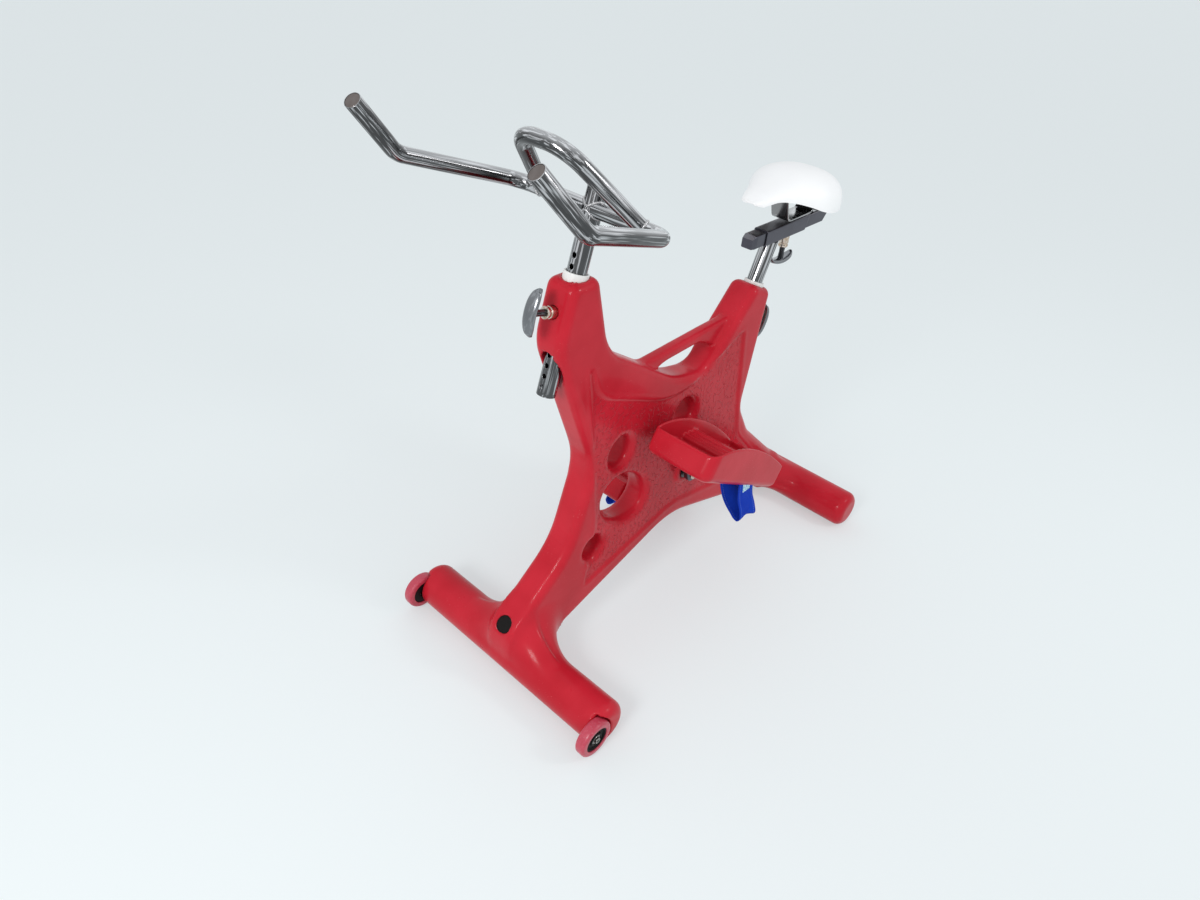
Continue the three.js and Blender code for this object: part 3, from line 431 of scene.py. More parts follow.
# Where each post enters its neck, in shares of half the foot spacing and of the neck height
FRONT_SEAT_SHARES, REAR_SEAT_SHARES = (0.7486, 1), (-0.461, 0.791)


def mast(seat_share, lean, pin_depth, pull):
    """Origin, pull axis, Y axis and up axis of a post that leans backwards."""
    up = np.array((-np.sin(lean), 0, np.cos(lean)))
    seat = np.array((seat_share[0] * HALF_BASE + MIDDLE_X, 0, seat_share[1] * NECK_HEIGHT))
    origin = seat - pin_depth * up
    way = pull * np.array((np.cos(lean), 0, np.sin(lean)))
    return origin, np.array((way, np.cross(up, way), up))


front_mast = mast(FRONT_SEAT_SHARES, FRONT_LEAN, FRONT_PIN_DEPTH, 1)
rear_mast = mast(REAR_SEAT_SHARES, REAR_LEAN, REAR_PIN_DEPTH, -1)

CRANK_SHARES = (-0.031, 0.337)
CRANK_PLACE = np.array((MIDDLE_X + CRANK_SHARES[0] * HALF_BASE, 0, CRANK_SHARES[1] * NECK_HEIGHT))
HUB_RADIUS, HUB_REACH, HUB_ROUNDING = 0.036, 0.039, 0.003
BEARING_RADIUS, BEARING_WIDTH = 0.0207, 0.012
WHEEL_RADIUS, WHEEL_WIDTH = 0.041, 0.024
WHEEL_AHEAD, WHEEL_OUT, WHEEL_UP, WHEEL_CLEARANCE = 0.0388, 0.272, 0.0463, 0.004
WHEEL_PLACE = np.array((MIDDLE_X + HALF_BASE + WHEEL_AHEAD, WHEEL_OUT, WHEEL_UP))
BOSS_RADIUS = 0.0112
FRONT_BOSS_FROM, REAR_BOSS_FROM = 0.028, 0.046
# The ends of each post's bore along it, and of the plug's seat along its own way
FRONT_GUIDE, REAR_GUIDE = (-0.204, 0.1), (-0.2123, 0.12)
PLUG_SEAT = (-0.0053, 0.02)
BOSS_SEAT_END = 0.1
PLUG_RADIUS = 0.0185
PLUG_AHEAD_SHARE, PLUG_UP_SHARE, PLUG_LEAN = 0.61, 1.96, 0.235 * np.pi
PLUG_PLACE = np.array((MIDDLE_X + HALF_BASE + PLUG_AHEAD_SHARE * FOOT_RADIUS, 0,
                       FOOT_HEIGHT + PLUG_UP_SHARE * FOOT_RADIUS))
PLUG_WAY = np.array((np.sin(PLUG_LEAN), 0, np.cos(PLUG_LEAN)))
GAP = 0.0003

chart_low, chart_high = body_low[[0, 2]] - CHART_MARGIN, body_high[[0, 2]] + CHART_MARGIN


def body_chart(outlines):
    """The depth of the deepest of some outlines, as a chart over the side view."""
    return charted(chart_low, chart_high, CHART_STEP, lambda x, z: np.minimum.reduce(
        [outline_depth(x, z, outline) for outline in outlines]))


plate_chart = body_chart([body_outline(BODY_SHARES)])
strut_chart = body_chart([body_outline(STRUT_SHARES)])
recess_chart = body_chart([body_outline(RECESS_SHARES)])
hole_chart = body_chart([oval_outline(*shares) for shares in HOLE_SHARES])


def body_depth(x, y, z):
    """The frame body: plate, strut, feet and crank boss joined, then its openings carved."""
    recess = recess_chart(x, z)
    ridge = RIDGE_HEIGHT * np.exp(-(recess / RIDGE_WIDTH - 1) ** 2)
    half = BODY_HALF - RECESS_DEPTH * smooth_step(-recess / RECESS_SLOPE) + ridge
    edge = carved(plate_chart(x, z), hole_chart(x, z), HOLE_EDGE)
    solid = rounded_slab(edge, np.abs(y) - half, BODY_ROUNDING)
    strut = rounded_slab(strut_chart(x, z), np.abs(y) - STRUT_HALF, STRUT_ROUNDING)
    solid = joined(solid, strut, STRUT_FILLET)
    for middle, foot in ((MIDDLE_X + HALF_BASE, FRONT_FOOT), (MIDDLE_X - HALF_BASE, REAR_FOOT)):
        solid = joined(solid, foot_depth(x, y, z, middle, *foot), FOOT_FILLET)
    from_crank = np.hypot(x - CRANK_PLACE[0], z - CRANK_PLACE[2])
    hub = rounded_slab(from_crank - HUB_RADIUS, np.abs(y) - HUB_REACH, HUB_ROUNDING)
    solid = joined(solid, hub, HUB_FILLET)
    seat = np.maximum(from_crank - BEARING_RADIUS - GAP, HUB_REACH - BEARING_WIDTH - np.abs(y))
    solid = carved(solid, seat, SEAT_EDGE)
    notch = np.hypot(x - WHEEL_PLACE[0], z - WHEEL_PLACE[2]) - WHEEL_RADIUS - WHEEL_CLEARANCE
    inner = WHEEL_PLACE[1] - WHEEL_WIDTH / 2 - 2 * GAP - np.abs(y)
    solid = carved(solid, np.maximum(notch, inner), GUIDE_EDGE)
    for (origin, axes), guide, boss in (
            (front_mast, FRONT_GUIDE, FRONT_BOSS_FROM), (rear_mast, REAR_GUIDE, REAR_BOSS_FROM)):
        bore = rod_depth(x, y, z, origin, axes[2], GUIDE_RADIUS + GAP, *guide)
        solid = carved(solid, bore, GUIDE_EDGE)
        seat = rod_depth(x, y, z, origin, axes[0], BOSS_RADIUS + GAP, boss, BOSS_SEAT_END)
        solid = carved(solid, seat, SEAT_EDGE)
    plug = rod_depth(x, y, z, PLUG_PLACE, PLUG_WAY, PLUG_RADIUS + GAP, *PLUG_SEAT)
    solid = carved(solid, plug, SEAT_EDGE)
    return np.maximum(solid, -z)


CORNERS = np.array([(i, j, k) for i in (0, 1) for j in (0, 1) for k in (0, 1)])
EDGES = np.array([(a, b) for a in range(8) for b in range(a, 8)
                  if np.abs(CORNERS[a] - CORNERS[b]).sum() == 1])


def netted(depth_at, low, high, step):
    """The skin of a solid. Each cell of a grid that the skin crosses gets one point, the mean of
    its crossings, and each crossed grid line gets a face between its four cells."""
    low = np.asarray(low) - 2 * step
    counts = np.ceil((np.asarray(high) + 2 * step - low) / step).astype(int) + 1
    xs, ys, zs = (start + step * np.arange(count) for start, count in zip(low, counts))
    values = depth_at(xs[:, None, None], ys[None, :, None], zs[None, None, :])
    inside = values < 0
    corner_count = sum(
        inside[i:len(xs) - 1 + i, j:len(ys) - 1 + j, k:len(zs) - 1 + k].astype(np.int8)
        for i, j, k in CORNERS)
    crossed = (corner_count > 0) & (corner_count < 8)
    cells = np.argwhere(crossed)
    number = np.full(crossed.shape, -1)
    number[crossed] = np.arange(len(cells))
    at = (cells[:, None] + CORNERS).transpose(2, 0, 1)
    corner_values = values[at[0], at[1], at[2]]
    start, end = corner_values[:, EDGES[:, 0]], corner_values[:, EDGES[:, 1]]
    cuts = (start < 0) != (end < 0)
    share = np.where(cuts, start / np.where(cuts, start - end, 1), 0)[..., None]
    spots = CORNERS[EDGES[:, 0]] * (1 - share) + CORNERS[EDGES[:, 1]] * share
    mean = (spots * cuts[..., None]).sum(axis=1) / cuts.sum(axis=1)[:, None]
    points = low + step * (cells + mean)
    faces = []
    for axis in range(3):
        one, two = (axis + 1) % 3, (axis + 2) % 3
        near = inside.take(range(inside.shape[axis] - 1), axis=axis)
        far = inside.take(range(1, inside.shape[axis]), axis=axis)
        lines = np.argwhere(near != far)
        outward = near[tuple(lines.T)]
        quad = []
        for shift_one, shift_two in ((0, 0), (-1, 0), (-1, -1), (0, -1)):
            cell = lines.copy()
            cell[:, one] += shift_one
            cell[:, two] += shift_two
            quad.append(number[tuple(cell.T)])
        quad = np.stack(quad, axis=1)
        faces.append(np.where(outward[:, None], quad, quad[:, ::-1]))
    return settled(points, depth_at), np.concatenate(faces)


def slope(points, depth_at, reach=0.0004):
    """How fast the depth grows along each axis."""
    shifts = np.eye(3) * reach
    return np.stack([
        (depth_at(*(points + shift).T) - depth_at(*(points - shift).T)) / (2 * reach)
        for shift in shifts], axis=1)


def settled(points, depth_at, limit=0.002):
    """Points moved down the slope of the depth until they lie on the skin."""
    for _ in range(3):
        grade = slope(points, depth_at)
        drop = depth_at(*points.T) / np.maximum(np.sum(grade * grade, axis=1), 0.25)
        points = points - np.clip(grade * drop[:, None], -limit, limit)
    return points


def quad_mesh(name, points, quads, merge=None, sharp=None):
    """A smooth mesh of four-sided faces. Doubles are merged where a shape closes on itself."""
    mesh = bpy.data.meshes.new(name)
    mesh.vertices.add(len(points))
    mesh.vertices.foreach_set("co", np.ascontiguousarray(points, dtype=np.float32).ravel())
    mesh.loops.add(quads.size)
    mesh.loops.foreach_set("vertex_index", np.ascontiguousarray(quads, dtype=np.int32).ravel())
    mesh.polygons.add(len(quads))
    mesh.polygons.foreach_set("loop_start", np.arange(0, quads.size, 4, dtype=np.int32))
    mesh.update(calc_edges=True)
    mesh.validate()
    if merge:
        build = bmesh.new()
        build.from_mesh(mesh)
        bmesh.ops.remove_doubles(build, verts=build.verts, dist=merge)
        bmesh.ops.dissolve_degenerate(build, edges=build.edges, dist=merge / 2)
        bmesh.ops.recalc_face_normals(build, faces=build.faces)
        build.to_mesh(mesh)
        build.free()
    mesh.shade_smooth()
    if sharp:
        mesh.set_sharp_from_angle(angle=math.radians(sharp))
    return mesh


def new_piece(name, mesh, body, material, slot, *nodes):
    """Adds a piece that rides on a body, takes the material given as its finish and stands for nodes.
    The slot is not used.
    """
    piece = bpy.data.objects.new(name, mesh)
    scene.collection.objects.link(piece)
    mesh.materials.append(material)
    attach(piece, body)
    if nodes:
        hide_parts(*nodes)
    return piece


PLASTIC_RED, PLASTIC_LIGHT_RED, SCUFF_PINK = tint(184, 27, 42), tint(197, 37, 52), tint(238, 150, 152)
# Cells of the panels' grain per metre, then a stroke's length, width and height
GRAIN_SCALE, STROKE_LENGTH, STROKE_WIDTH, STROKE_HEIGHT = 70.0, 0.0078, 0.0021, 0.0016
# The panels' grain: how square to the side it needs the skin, and where it starts and fades
PANEL_FACING, PANEL_FACING_FADE, PANEL_INSET, PANEL_FADE = 0.8, 0.15, 0.006, 0.008


def red_plastic(name, panel=False):
    """Semi-gloss moulded polyethylene: faint cloudy colour, an orange-peel skin, small pale
    scuffs, and in the side panels a grain of short raised strokes, each turned at random."""
    material, place = new_material(name)
    cloud = noise(place, 9, 3.0)
    colour = cloud.step(0.3, 0.7).mix(PLASTIC_RED, PLASTIC_LIGHT_RED)
    scuff = noise(place, 420, 2.0).step(0.70, 0.74) * noise(place, 14, 2.0).step(0.52, 0.66)
    colour = (scuff * 0.55).mix(colour, SCUFF_PINK)
    rough = noise(place, 30, 3.0) * 0.12 + 0.24 + scuff * 0.2
    height = noise(place, 380, 1.0) * 0.12 + noise(place, 60, 2.0) * 0.5
    normal = bumped(height, 0.0004)
    if panel:
        inside = place.node("Attribute", {"attribute_name": "panel"}, output=2)
        flat = place.node("CombineXYZ", sockets={0: place.split("X"), 1: place.split("Z")})
        warp = noise(place, 16, 2.0) - 0.5
        cells = {"Vector": flat, "Scale": GRAIN_SCALE, "Randomness": 0.85}
        cell, centre = (place.node("TexVoronoi", {"voronoi_dimensions": "2D"}, cells, output)
                        for output in (1, 2))
        offset = place.node("VectorMath", {"operation": "SUBTRACT"}, {0: flat, 1: centre})
        turn = (cell.node("SeparateColor", sockets={0: cell}) + warp) * 2.6 + 0.3
        level, up, cosine, sine = (
            offset.split("X"), offset.split("Y"), turn.math("COSINE"), turn.math("SINE"))
        along = (level * cosine + up * sine) / STROKE_LENGTH
        over = (up * cosine - level * sine) / STROKE_WIDTH
        stroke = 1 - (along * along + over * over).step(0.25, 1.1)
        normal = bumped(stroke * inside, STROKE_HEIGHT, normal)
    return finished(material, place, {
        "Base Color": colour, "Roughness": rough, "Normal": normal, "Specular IOR Level": 0.1,
        "Coat Weight": 0.13, "Coat Roughness": 0.1})


body_points, body_quads = netted(body_depth, body_low, body_high, NET_STEP)
body_mesh = quad_mesh("frame_body_skin", body_points, body_quads)
body_x, body_z = body_points[:, 0], body_points[:, 2]
facing = np.abs(unit(slope(body_points, body_depth))[:, 1])
from_crank = np.hypot(body_x - CRANK_PLACE[0], body_z - CRANK_PLACE[2])
panel = (smooth_step((facing - PANEL_FACING) / PANEL_FACING_FADE)
         * smooth_step((-recess_chart(body_x, body_z) - PANEL_INSET) / PANEL_FADE)
         * smooth_step((from_crank - HUB_RADIUS) / PANEL_FADE))
body_mesh.attributes.new("panel", "FLOAT", "POINT").data.foreach_set(
    "value", panel.astype(np.float32))
body_red = red_plastic("body_red", panel=True)
new_piece("frame_body_skin", body_mesh, "frame", body_red, "red_plastic", "frame_body")

# The drain plug is a black plastic cap pressed flush into the slope over the front foot, with
# a thin bright lip round it. Such round pieces are turned about their own axis.
def placed(points, origin, axes):
    """Points of a piece's own frame, whose axes are the rows given, put on the bike."""
    return np.asarray(points) @ np.asarray(axes) + np.asarray(origin)


def grid_quads(rows, columns, wrap_rows, wrap_columns):
    """Faces between neighbouring points of a grid, closed round where it wraps."""
    index = np.arange(rows * columns).reshape(rows, columns)
    if wrap_rows:
        index = np.concatenate((index, index[:1]))
    if wrap_columns:
        index = np.concatenate((index, index[:, :1]), axis=1)
    corners = index[:-1, :-1], index[1:, :-1], index[1:, 1:], index[:-1, 1:]
    return np.stack(corners, axis=-1).reshape(-1, 4)


def closed_skin(name, grid, wrap_rows=False, sharp=38):
    """A closed mesh over a grid that wraps across. Its first and last rows close on a point
    unless the rows wrap too."""
    if not wrap_rows:
        ends = [np.broadcast_to(row.mean(axis=0), row.shape)[None] for row in (grid[0], grid[-1])]
        grid = np.concatenate((ends[0], grid, ends[1]))
    quads = grid_quads(grid.shape[0], grid.shape[1], wrap_rows, True)
    return quad_mesh(name, grid.reshape(-1, 3), quads, merge=2e-6, sharp=sharp)


def turned(name, corners, origin, axes, sides=72):
    """A body of revolution about its third axis, from corners of radius, height and rounding
    that go once round its half section."""
    corners = np.array(corners)
    profile = rounded_corners(corners[:, :2], corners[:, 2], steps=6)
    turn = once_round(sides)
    radius, level = np.maximum(profile[:, :1], 0), profile[:, 1:]
    grid = np.stack((radius * np.cos(turn), radius * np.sin(turn),
                     np.broadcast_to(level, (len(profile), sides))), axis=-1)
    return closed_skin(name, placed(grid, origin, axes), wrap_rows=True)


def turned_piece(name, corners, origin, axes, body, material, slot, *nodes, sides=72):
    """Adds a piece that is a body of revolution."""
    mesh = turned(name, corners, origin, axes, sides)
    return new_piece(name, mesh, body, material, slot, *nodes)


def skin_piece(name, grid, body, material, slot, *nodes, sharp=38):
    """Adds a piece that is a closed skin over a grid."""
    mesh = closed_skin(name, grid, sharp=sharp)
    return new_piece(name, mesh, body, material, slot, *nodes)


def frame_along(way, side=(0, 1, 0)):
    """Axes whose third one runs along a way."""
    way = unit(np.array(way, float))
    first = unit(np.cross(side, way))
    return np.array((first, np.cross(way, first), way))


PLASTIC_BLACK, PLASTIC_GREY = tint(14, 12, 12), tint(26, 23, 22)


def black_plastic(name):
    """Matt black plastic with a faint mottle."""
    material, place = new_material(name)
    cloud = noise(place, 60, 3.0)
    return finished(material, place, {
        "Base Color": cloud.mix(PLASTIC_BLACK, PLASTIC_GREY), "Specular IOR Level": 0.12,
        "Roughness": cloud * 0.2 + 0.42, "Normal": bumped(noise(place, 700), 0.0001)})


# Edges of turned pieces are broken by some tenths of a millimetre
TENTH = 0.0001
PLUG_NECK, PLUG_LENGTH, PLUG_HEAD = 0.0099, 0.019, 0.005
PLUG_LIP, PLUG_PROUD, PLUG_EDGE = 0.0014, 0.0004, 0.0003

plug_black = black_plastic("plug_black")
plug_face = PLUG_RADIUS - PLUG_LIP
turned_piece("drain_plug_cap", (
    (0, -PLUG_LENGTH, 0), (PLUG_NECK, -PLUG_LENGTH, 10 * TENTH), (PLUG_NECK, -PLUG_HEAD, 0),
    (PLUG_RADIUS, -PLUG_HEAD, 0), (PLUG_RADIUS, PLUG_PROUD, 2 * PLUG_EDGE),
    (plug_face, PLUG_PROUD, PLUG_EDGE), (plug_face - PLUG_PROUD, -PLUG_PROUD, PLUG_EDGE),
    (0, PLUG_PROUD / 2, 0)),
    PLUG_PLACE, frame_along(PLUG_WAY), "frame", plug_black, "black_plastic", "drain_plug")

# The posts are polished stainless tubes with a row of holes for the pull pins. Each runs in a
# white acetal collar pressed into the neck and in a plain bush lower down.
POST_WALL = 0.0022
HOLE_PITCH = 0.020
HOLE_RADIUS = 0.0049
FRONT_POST = (-0.158, 0.219)
REAR_POST = (-0.152, 0.205)
REAR_POST_TOP = 0.187
CAP_THICKNESS = 0.003
COLLAR_LENGTH, COLLAR_RISE = 0.044, 0.0065
COLLAR_ROUNDING, COLLAR_CHAMFER = 0.0018, 0.0015
SLEEVE_SIZE = 0.035

slide_place = rear_mast[0] + REAR_POST_TOP * rear_mast[1][2] + (0, 0, SLEEVE_SIZE / 2)


def punched_wall(name, wall_at, girth, low, high, holes, pitch, radius, across):
    """A tube's wall laid flat as girth by length, with a round hole in a square patch at each
    mark, then rolled up by wall_at. Rings of points lead from a hole's rim to its patch."""
    half, count = pitch / 2, 6
    side = np.linspace(-half, half, count + 1)
    rest = np.linspace(half, girth - half, across + 1)
    edge = np.concatenate([np.stack(pair, axis=1) for pair in (
        (side[:-1], np.full(count, -half)), (np.full(count, half), side[:-1]),
        (-side[:-1], np.full(count, half)), (np.full(count, -half), -side[:-1]))])
    rim = unit(edge) * radius
    share = np.linspace(0, 1, 5)[:, None, None]
    patch = rim * (1 - share) + edge * share
    flat, faces, total = [], [], 0

    def add(grid, wrap):
        nonlocal total
        flat.append(grid.reshape(-1, 2))
        faces.append(grid_quads(grid.shape[0], grid.shape[1], False, wrap) + total)
        total += grid.shape[0] * grid.shape[1]

    for mark in holes:
        add((patch + (0, mark))[::-1], True)
    bottom, top = min(holes) - half, max(holes) + half
    rows = np.linspace(bottom, top, len(holes) * count + 1)
    add(np.stack(np.meshgrid(rest, rows), axis=-1), False)
    whole = np.concatenate((side, rest[1:]))
    for start, end in ((low, bottom), (top, high)):
        if end - start > 1e-6:
            steps = max(2, int((end - start) / 0.004))
            add(np.stack(np.meshgrid(whole, np.linspace(start, end, steps)), axis=-1), False)
    flat = np.concatenate(flat)
    return quad_mesh(name, wall_at(flat[:, 0], flat[:, 1]), np.concatenate(faces), merge=4e-5)


def walled(piece, thickness, edge=0.0004):
    """Gives a wall its thickness, inwards, and breaks its sharp edges."""
    solid = piece.modifiers.new("wall", "SOLIDIFY")
    solid.thickness, solid.offset, solid.use_even_offset = thickness, -1, True
    bevel = piece.modifiers.new("edges", "BEVEL")
    bevel.width, bevel.segments, bevel.limit_method = edge, 2, "ANGLE"
    bevel.angle_limit = math.radians(50)
    return piece


BRIGHT_STEEL = (0.80, 0.80, 0.82, 1)
ACETAL_WHITE, ACETAL_YELLOWED = tint(236, 236, 234), tint(222, 222, 218)


def polished_steel(name, colour=BRIGHT_STEEL, gloss=0.10, dark=0.09):
    """Polished stainless tube with painted reflections: bright and dark streaks run along it by the
    way its skin faces, and faces that look up are painted light and faces that look down painted
    as shade, over a cloudy polish and hairline marks."""
    material, place = new_material(name)
    facing = place.node("TexCoord", output=1)
    cloud = noise(place, 25, 3.0)
    round_tube = facing.node("VectorMath", {"operation": "MULTIPLY_ADD"},
                             {0: place, 1: (1.6, 1.6, 1.6), 2: facing})
    # Painted reflection: streaks that follow the way the skin faces, as a room's reflections do
    painted_reflection_band = noise(round_tube, 4.0, 2.0, 0.6).step(0.49, 0.64)
    # Painted light and shade: faces that look up are lighter, faces that look down are in shade
    painted_light_by_facing = facing.split("Z").step(0.35, 0.9) - facing.split("Z").step(0.0, -0.8) * 0.6
    long = place.node("Mapping", sockets={0: place, 3: (40, 40, 900)})
    hair = noise(long, 1.0, 2.0)
    # The dark tone of the painted reflections and of the painted shade
    painted_dark_tone = tuple(dark * part for part in colour[:3]) + (1,)
    return finished(material, place, {
        "Base Color": (painted_reflection_band * 0.72 + painted_light_by_facing * 0.5 + cloud * 0.08).mix(painted_dark_tone, colour),
        "Metallic": 1.0, "Roughness": cloud * 0.08 + gloss + hair * 0.04,
        "Normal": bumped(hair, 0.000005)})


def white_plastic(name):
    """Plain white acetal, slightly yellowed in places."""
    material, place = new_material(name)
    cloud = noise(place, 45, 2.0)
    return finished(material, place, {
        "Base Color": cloud.mix(ACETAL_WHITE, ACETAL_YELLOWED),
        "Roughness": cloud * 0.15 + 0.28, "Normal": bumped(noise(place, 500), 0.00006)})


def finish_node(name, material):
    """Gives a CAD node that stays a finish of its own."""
    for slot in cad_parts[name].material_slots:
        slot.material = material


post_steel = polished_steel("post_steel")
collar_white = white_plastic("collar_white")


def post(name, node, mast_frame, low, high, holes, body, trim=None):
    """A post with its row of holes on the side that its pin comes from."""
    def wall_at(around, along):
        turn = around / POST_RADIUS
        points = placed(np.stack((POST_RADIUS * np.cos(turn), POST_RADIUS * np.sin(turn), along),
                                 axis=1), *mast_frame)
        if trim is not None:
            over = np.maximum(points[:, 2:] - trim, 0) / mast_frame[1][2][2]
            points = points - over * mast_frame[1][2]
        return points
    mesh = punched_wall(name, wall_at, 2 * np.pi * POST_RADIUS, low, high,
                        [step * HOLE_PITCH for step in holes], HOLE_PITCH, HOLE_RADIUS, 36)
    return walled(new_piece(name, mesh, body, post_steel, "polished_steel", node), POST_WALL)


post("front_post_tube", "handlebar_post", front_mast, *FRONT_POST, range(-7, 6), "handlebar")
post("rear_post_tube", "saddle_post", rear_mast, *REAR_POST, range(-3, 4), "saddle_mast",
     trim=slide_place[2] - SLEEVE_SIZE / 2 - GAP / 2)
lid_low, lid_high = FRONT_POST[1] + GAP, FRONT_POST[1] + CAP_THICKNESS
turned_piece("front_post_lid", (
    (0, lid_low, 0), (POST_RADIUS, lid_low, 0), (POST_RADIUS, lid_high, CAP_THICKNESS / 2),
    (0, lid_high, 0)), *front_mast, "handlebar", post_steel, "polished_steel", "handlebar_post_cap")
for name, node, mast_frame, seat in (
        ("front_collar_ring", "front_collar", front_mast, FRONT_PIN_DEPTH),
        ("rear_collar_ring", "rear_collar", rear_mast, REAR_PIN_DEPTH)):
    inner, low, high = POST_RADIUS + GAP, seat - COLLAR_LENGTH, seat + COLLAR_RISE
    turned_piece(name, (
        (inner, low, 0), (GUIDE_RADIUS, low, 0), (GUIDE_RADIUS, high, COLLAR_ROUNDING),
        (inner + COLLAR_CHAMFER, high, 4 * TENTH), (inner, high - COLLAR_CHAMFER, 4 * TENTH)),
        *mast_frame, "frame", collar_white, "white_plastic", node)
for node in ("front_lower_bush", "rear_lower_bush"):
    finish_node(node, collar_white)

# Each post and the slide is locked by a spring pull pin: a warm nickel-plated boss, a collared
# pin with a coil spring inside, and a bright cast wing on a dark stem that a hand pulls.
PIN_RADIUS = 0.0042
BOSS_LENGTH = 0.0299
STEM_RADIUS, STEM_LENGTH = 0.0065, 0.027
WING_HALF, WING_WIDTH, WING_THICKNESS, WING_BOW = 0.043, 0.027, 0.012, 0.009
# How far the tips hook inwards and from which share of the half length, and the oval's power
WING_HOOK, WING_HOOK_SHARE, WING_POWER = 0.003, 0.82, 3.2
# The boss has a groove round it: its depth, then its edges as distances from the boss's end
GROOVE_DEPTH, GROOVE_ENDS, GROOVE_SLOPE = 0.0014, (0.0105, 0.0055), 0.001
BOSS_EDGE, BOSS_NOSE, STEM_FLARE, STEM_WAIST = 0.0004, 0.0016, 0.0006, 0.012
SLIDE_PIN_AT = 0.061
NICKEL_BRASSY, NICKEL_PALE = (0.52, 0.40, 0.30, 1), (0.68, 0.60, 0.54, 1)
WING_COLOUR, STEM_COLOUR = (0.34, 0.35, 0.37, 1), (0.20, 0.20, 0.22, 1)


def warm_nickel(name):
    """Nickel plate gone warm and brassy in places."""
    material, place = new_material(name)
    cloud = noise(place, 160, 3.0)
    return finished(material, place, {
        "Base Color": cloud.step(0.35, 0.65).mix(NICKEL_BRASSY, NICKEL_PALE),
        "Metallic": 1.0, "Roughness": cloud * 0.2 + 0.14, "Normal": bumped(cloud, 0.00005)})


boss_nickel = warm_nickel("boss_nickel")
wing_steel = polished_steel("wing_steel", WING_COLOUR, 0.16, 0.6)
stem_steel = polished_steel("stem_steel", STEM_COLOUR, 0.24)
pin_steel = polished_steel("pin_steel")


def signed_power(value, power):
    """A power that keeps its sign."""
    return np.sign(value) * np.abs(value) ** power


def wing_skin(origin, axes, reach):
    """A bowed oval wing: its half width and half thickness fall off to its tips as a high-power
    oval, its middle bends back with the square of the way out, and its tips hook inwards."""
    share = np.sin(np.linspace(-0.5, 0.5, 45) * np.pi)[:, None] * 0.995
    turn = once_round(40)[None]
    fall = np.sqrt(1 - np.abs(share) ** WING_POWER)
    hook = smooth_step((np.abs(share) - WING_HOOK_SHARE) / (1 - WING_HOOK_SHARE))
    middle = reach - WING_BOW * share ** 2 - WING_HOOK * hook
    over = signed_power(np.cos(turn), 0.8)
    out = middle + WING_THICKNESS / 2 * np.sqrt(fall) * over
    wide = WING_WIDTH / 2 * fall * np.sin(turn)
    grid = np.stack((out, wide, np.broadcast_to(WING_HALF * share, wide.shape)), axis=-1)
    return placed(grid, origin, axes)


slide_pin_frame = (slide_place - (SLIDE_PIN_AT, 0, 0),
                   np.array(((0, 0, -1), (0, 1, 0), (1, 0, 0))))
for name, (origin, axes), from_axis, holder in (
        ("front_pin", front_mast, FRONT_BOSS_FROM, "frame"),
        ("rear_pin", rear_mast, REAR_BOSS_FROM, "frame"),
        ("slide_pin", slide_pin_frame, SLEEVE_SIZE / 2 + GAP, "saddle_mast")):
    turning = np.array((axes[1], axes[2], axes[0]))
    boss_to = from_axis + BOSS_LENGTH
    wing_at = boss_to + STEM_LENGTH + WING_THICKNESS / 2
    groove, groove_low, groove_high = (BOSS_RADIUS - GROOVE_DEPTH, *(
        boss_to - end for end in GROOVE_ENDS))
    turned_piece(name + "_barrel", (
        (HOLE_RADIUS, from_axis, 0), (BOSS_RADIUS, from_axis, BOSS_EDGE),
        (BOSS_RADIUS, groove_low, 2 * BOSS_EDGE), (groove, groove_low + GROOVE_SLOPE, BOSS_EDGE),
        (groove, groove_high - GROOVE_SLOPE, BOSS_EDGE), (BOSS_RADIUS, groove_high, 2 * BOSS_EDGE),
        (BOSS_RADIUS, boss_to - BOSS_NOSE, 6 * TENTH), (BOSS_RADIUS - BOSS_NOSE, boss_to, 6 * TENTH),
        (HOLE_RADIUS, boss_to, 0)),
        origin, turning, holder, boss_nickel, "nickel", name + "_boss")
    turned_piece(name + "_stem", (
        (PIN_RADIUS + GAP, boss_to + GAP, 0), (STEM_RADIUS, boss_to + GAP, STEM_FLARE),
        (STEM_RADIUS - STEM_FLARE, boss_to + STEM_WAIST, STEM_WAIST / 4),
        (STEM_RADIUS + STEM_FLARE, wing_at, 0), (PIN_RADIUS + GAP, wing_at, 0)),
        origin, turning, name, stem_steel, "dark_steel")
    skin_piece(name + "_handle", wing_skin(origin, axes, wing_at), name, wing_steel,
               "polished_steel", name + "_wing")
    finish_node(name + "_spring", stem_steel)
    finish_node(name + "_shaft", pin_steel)

# The handlebar is bent from polished stainless tube: a side bar each way from the post, a loop
# over the middle, a flat disc welded into each end, and a rippled weld at every joint.
BAR_RADIUS = 0.0135
BAR_BEND, LOOP_BEND = 0.045, 0.058
CROSS_RISE, CROSS_FORWARD = 0.181, 0.005
BAR_CORNERS = ((0, 0.009, 0), (0, 0.1657, 0), (0.230, 0.2046, 0.075), (0.3095, 0.1885, 0.167))
LOOP_FOOT, LOOP_CROWN = (0, 0.112, 0), (0.120, 0.050, 0.130)
SIDES = ((1, "left"), (-1, "right"))
DISC_RADIUS, DISC_THICKNESS, DISC_EDGE = 0.012, 0.002, 0.0005
WELD_RADIUS, WELD_RIPPLE, WELD_POINTS = 0.0023, 0.16, 240
# How each bar's end is rounded over and stepped down to hold its disc: rows as a move along
# the bar and a share of its radius
TIP_ROWS = ((-0.0006, 1), (-0.0002, 0.985), (0, 0.955), (0, 0.915), (-0.0004, 0.905),
            (-DISC_THICKNESS - GAP, 0.905))

cross_place = front_mast[0] + (CROSS_FORWARD - CROSS_RISE * np.sin(FRONT_LEAN), 0,
                               CROSS_RISE * np.cos(FRONT_LEAN))


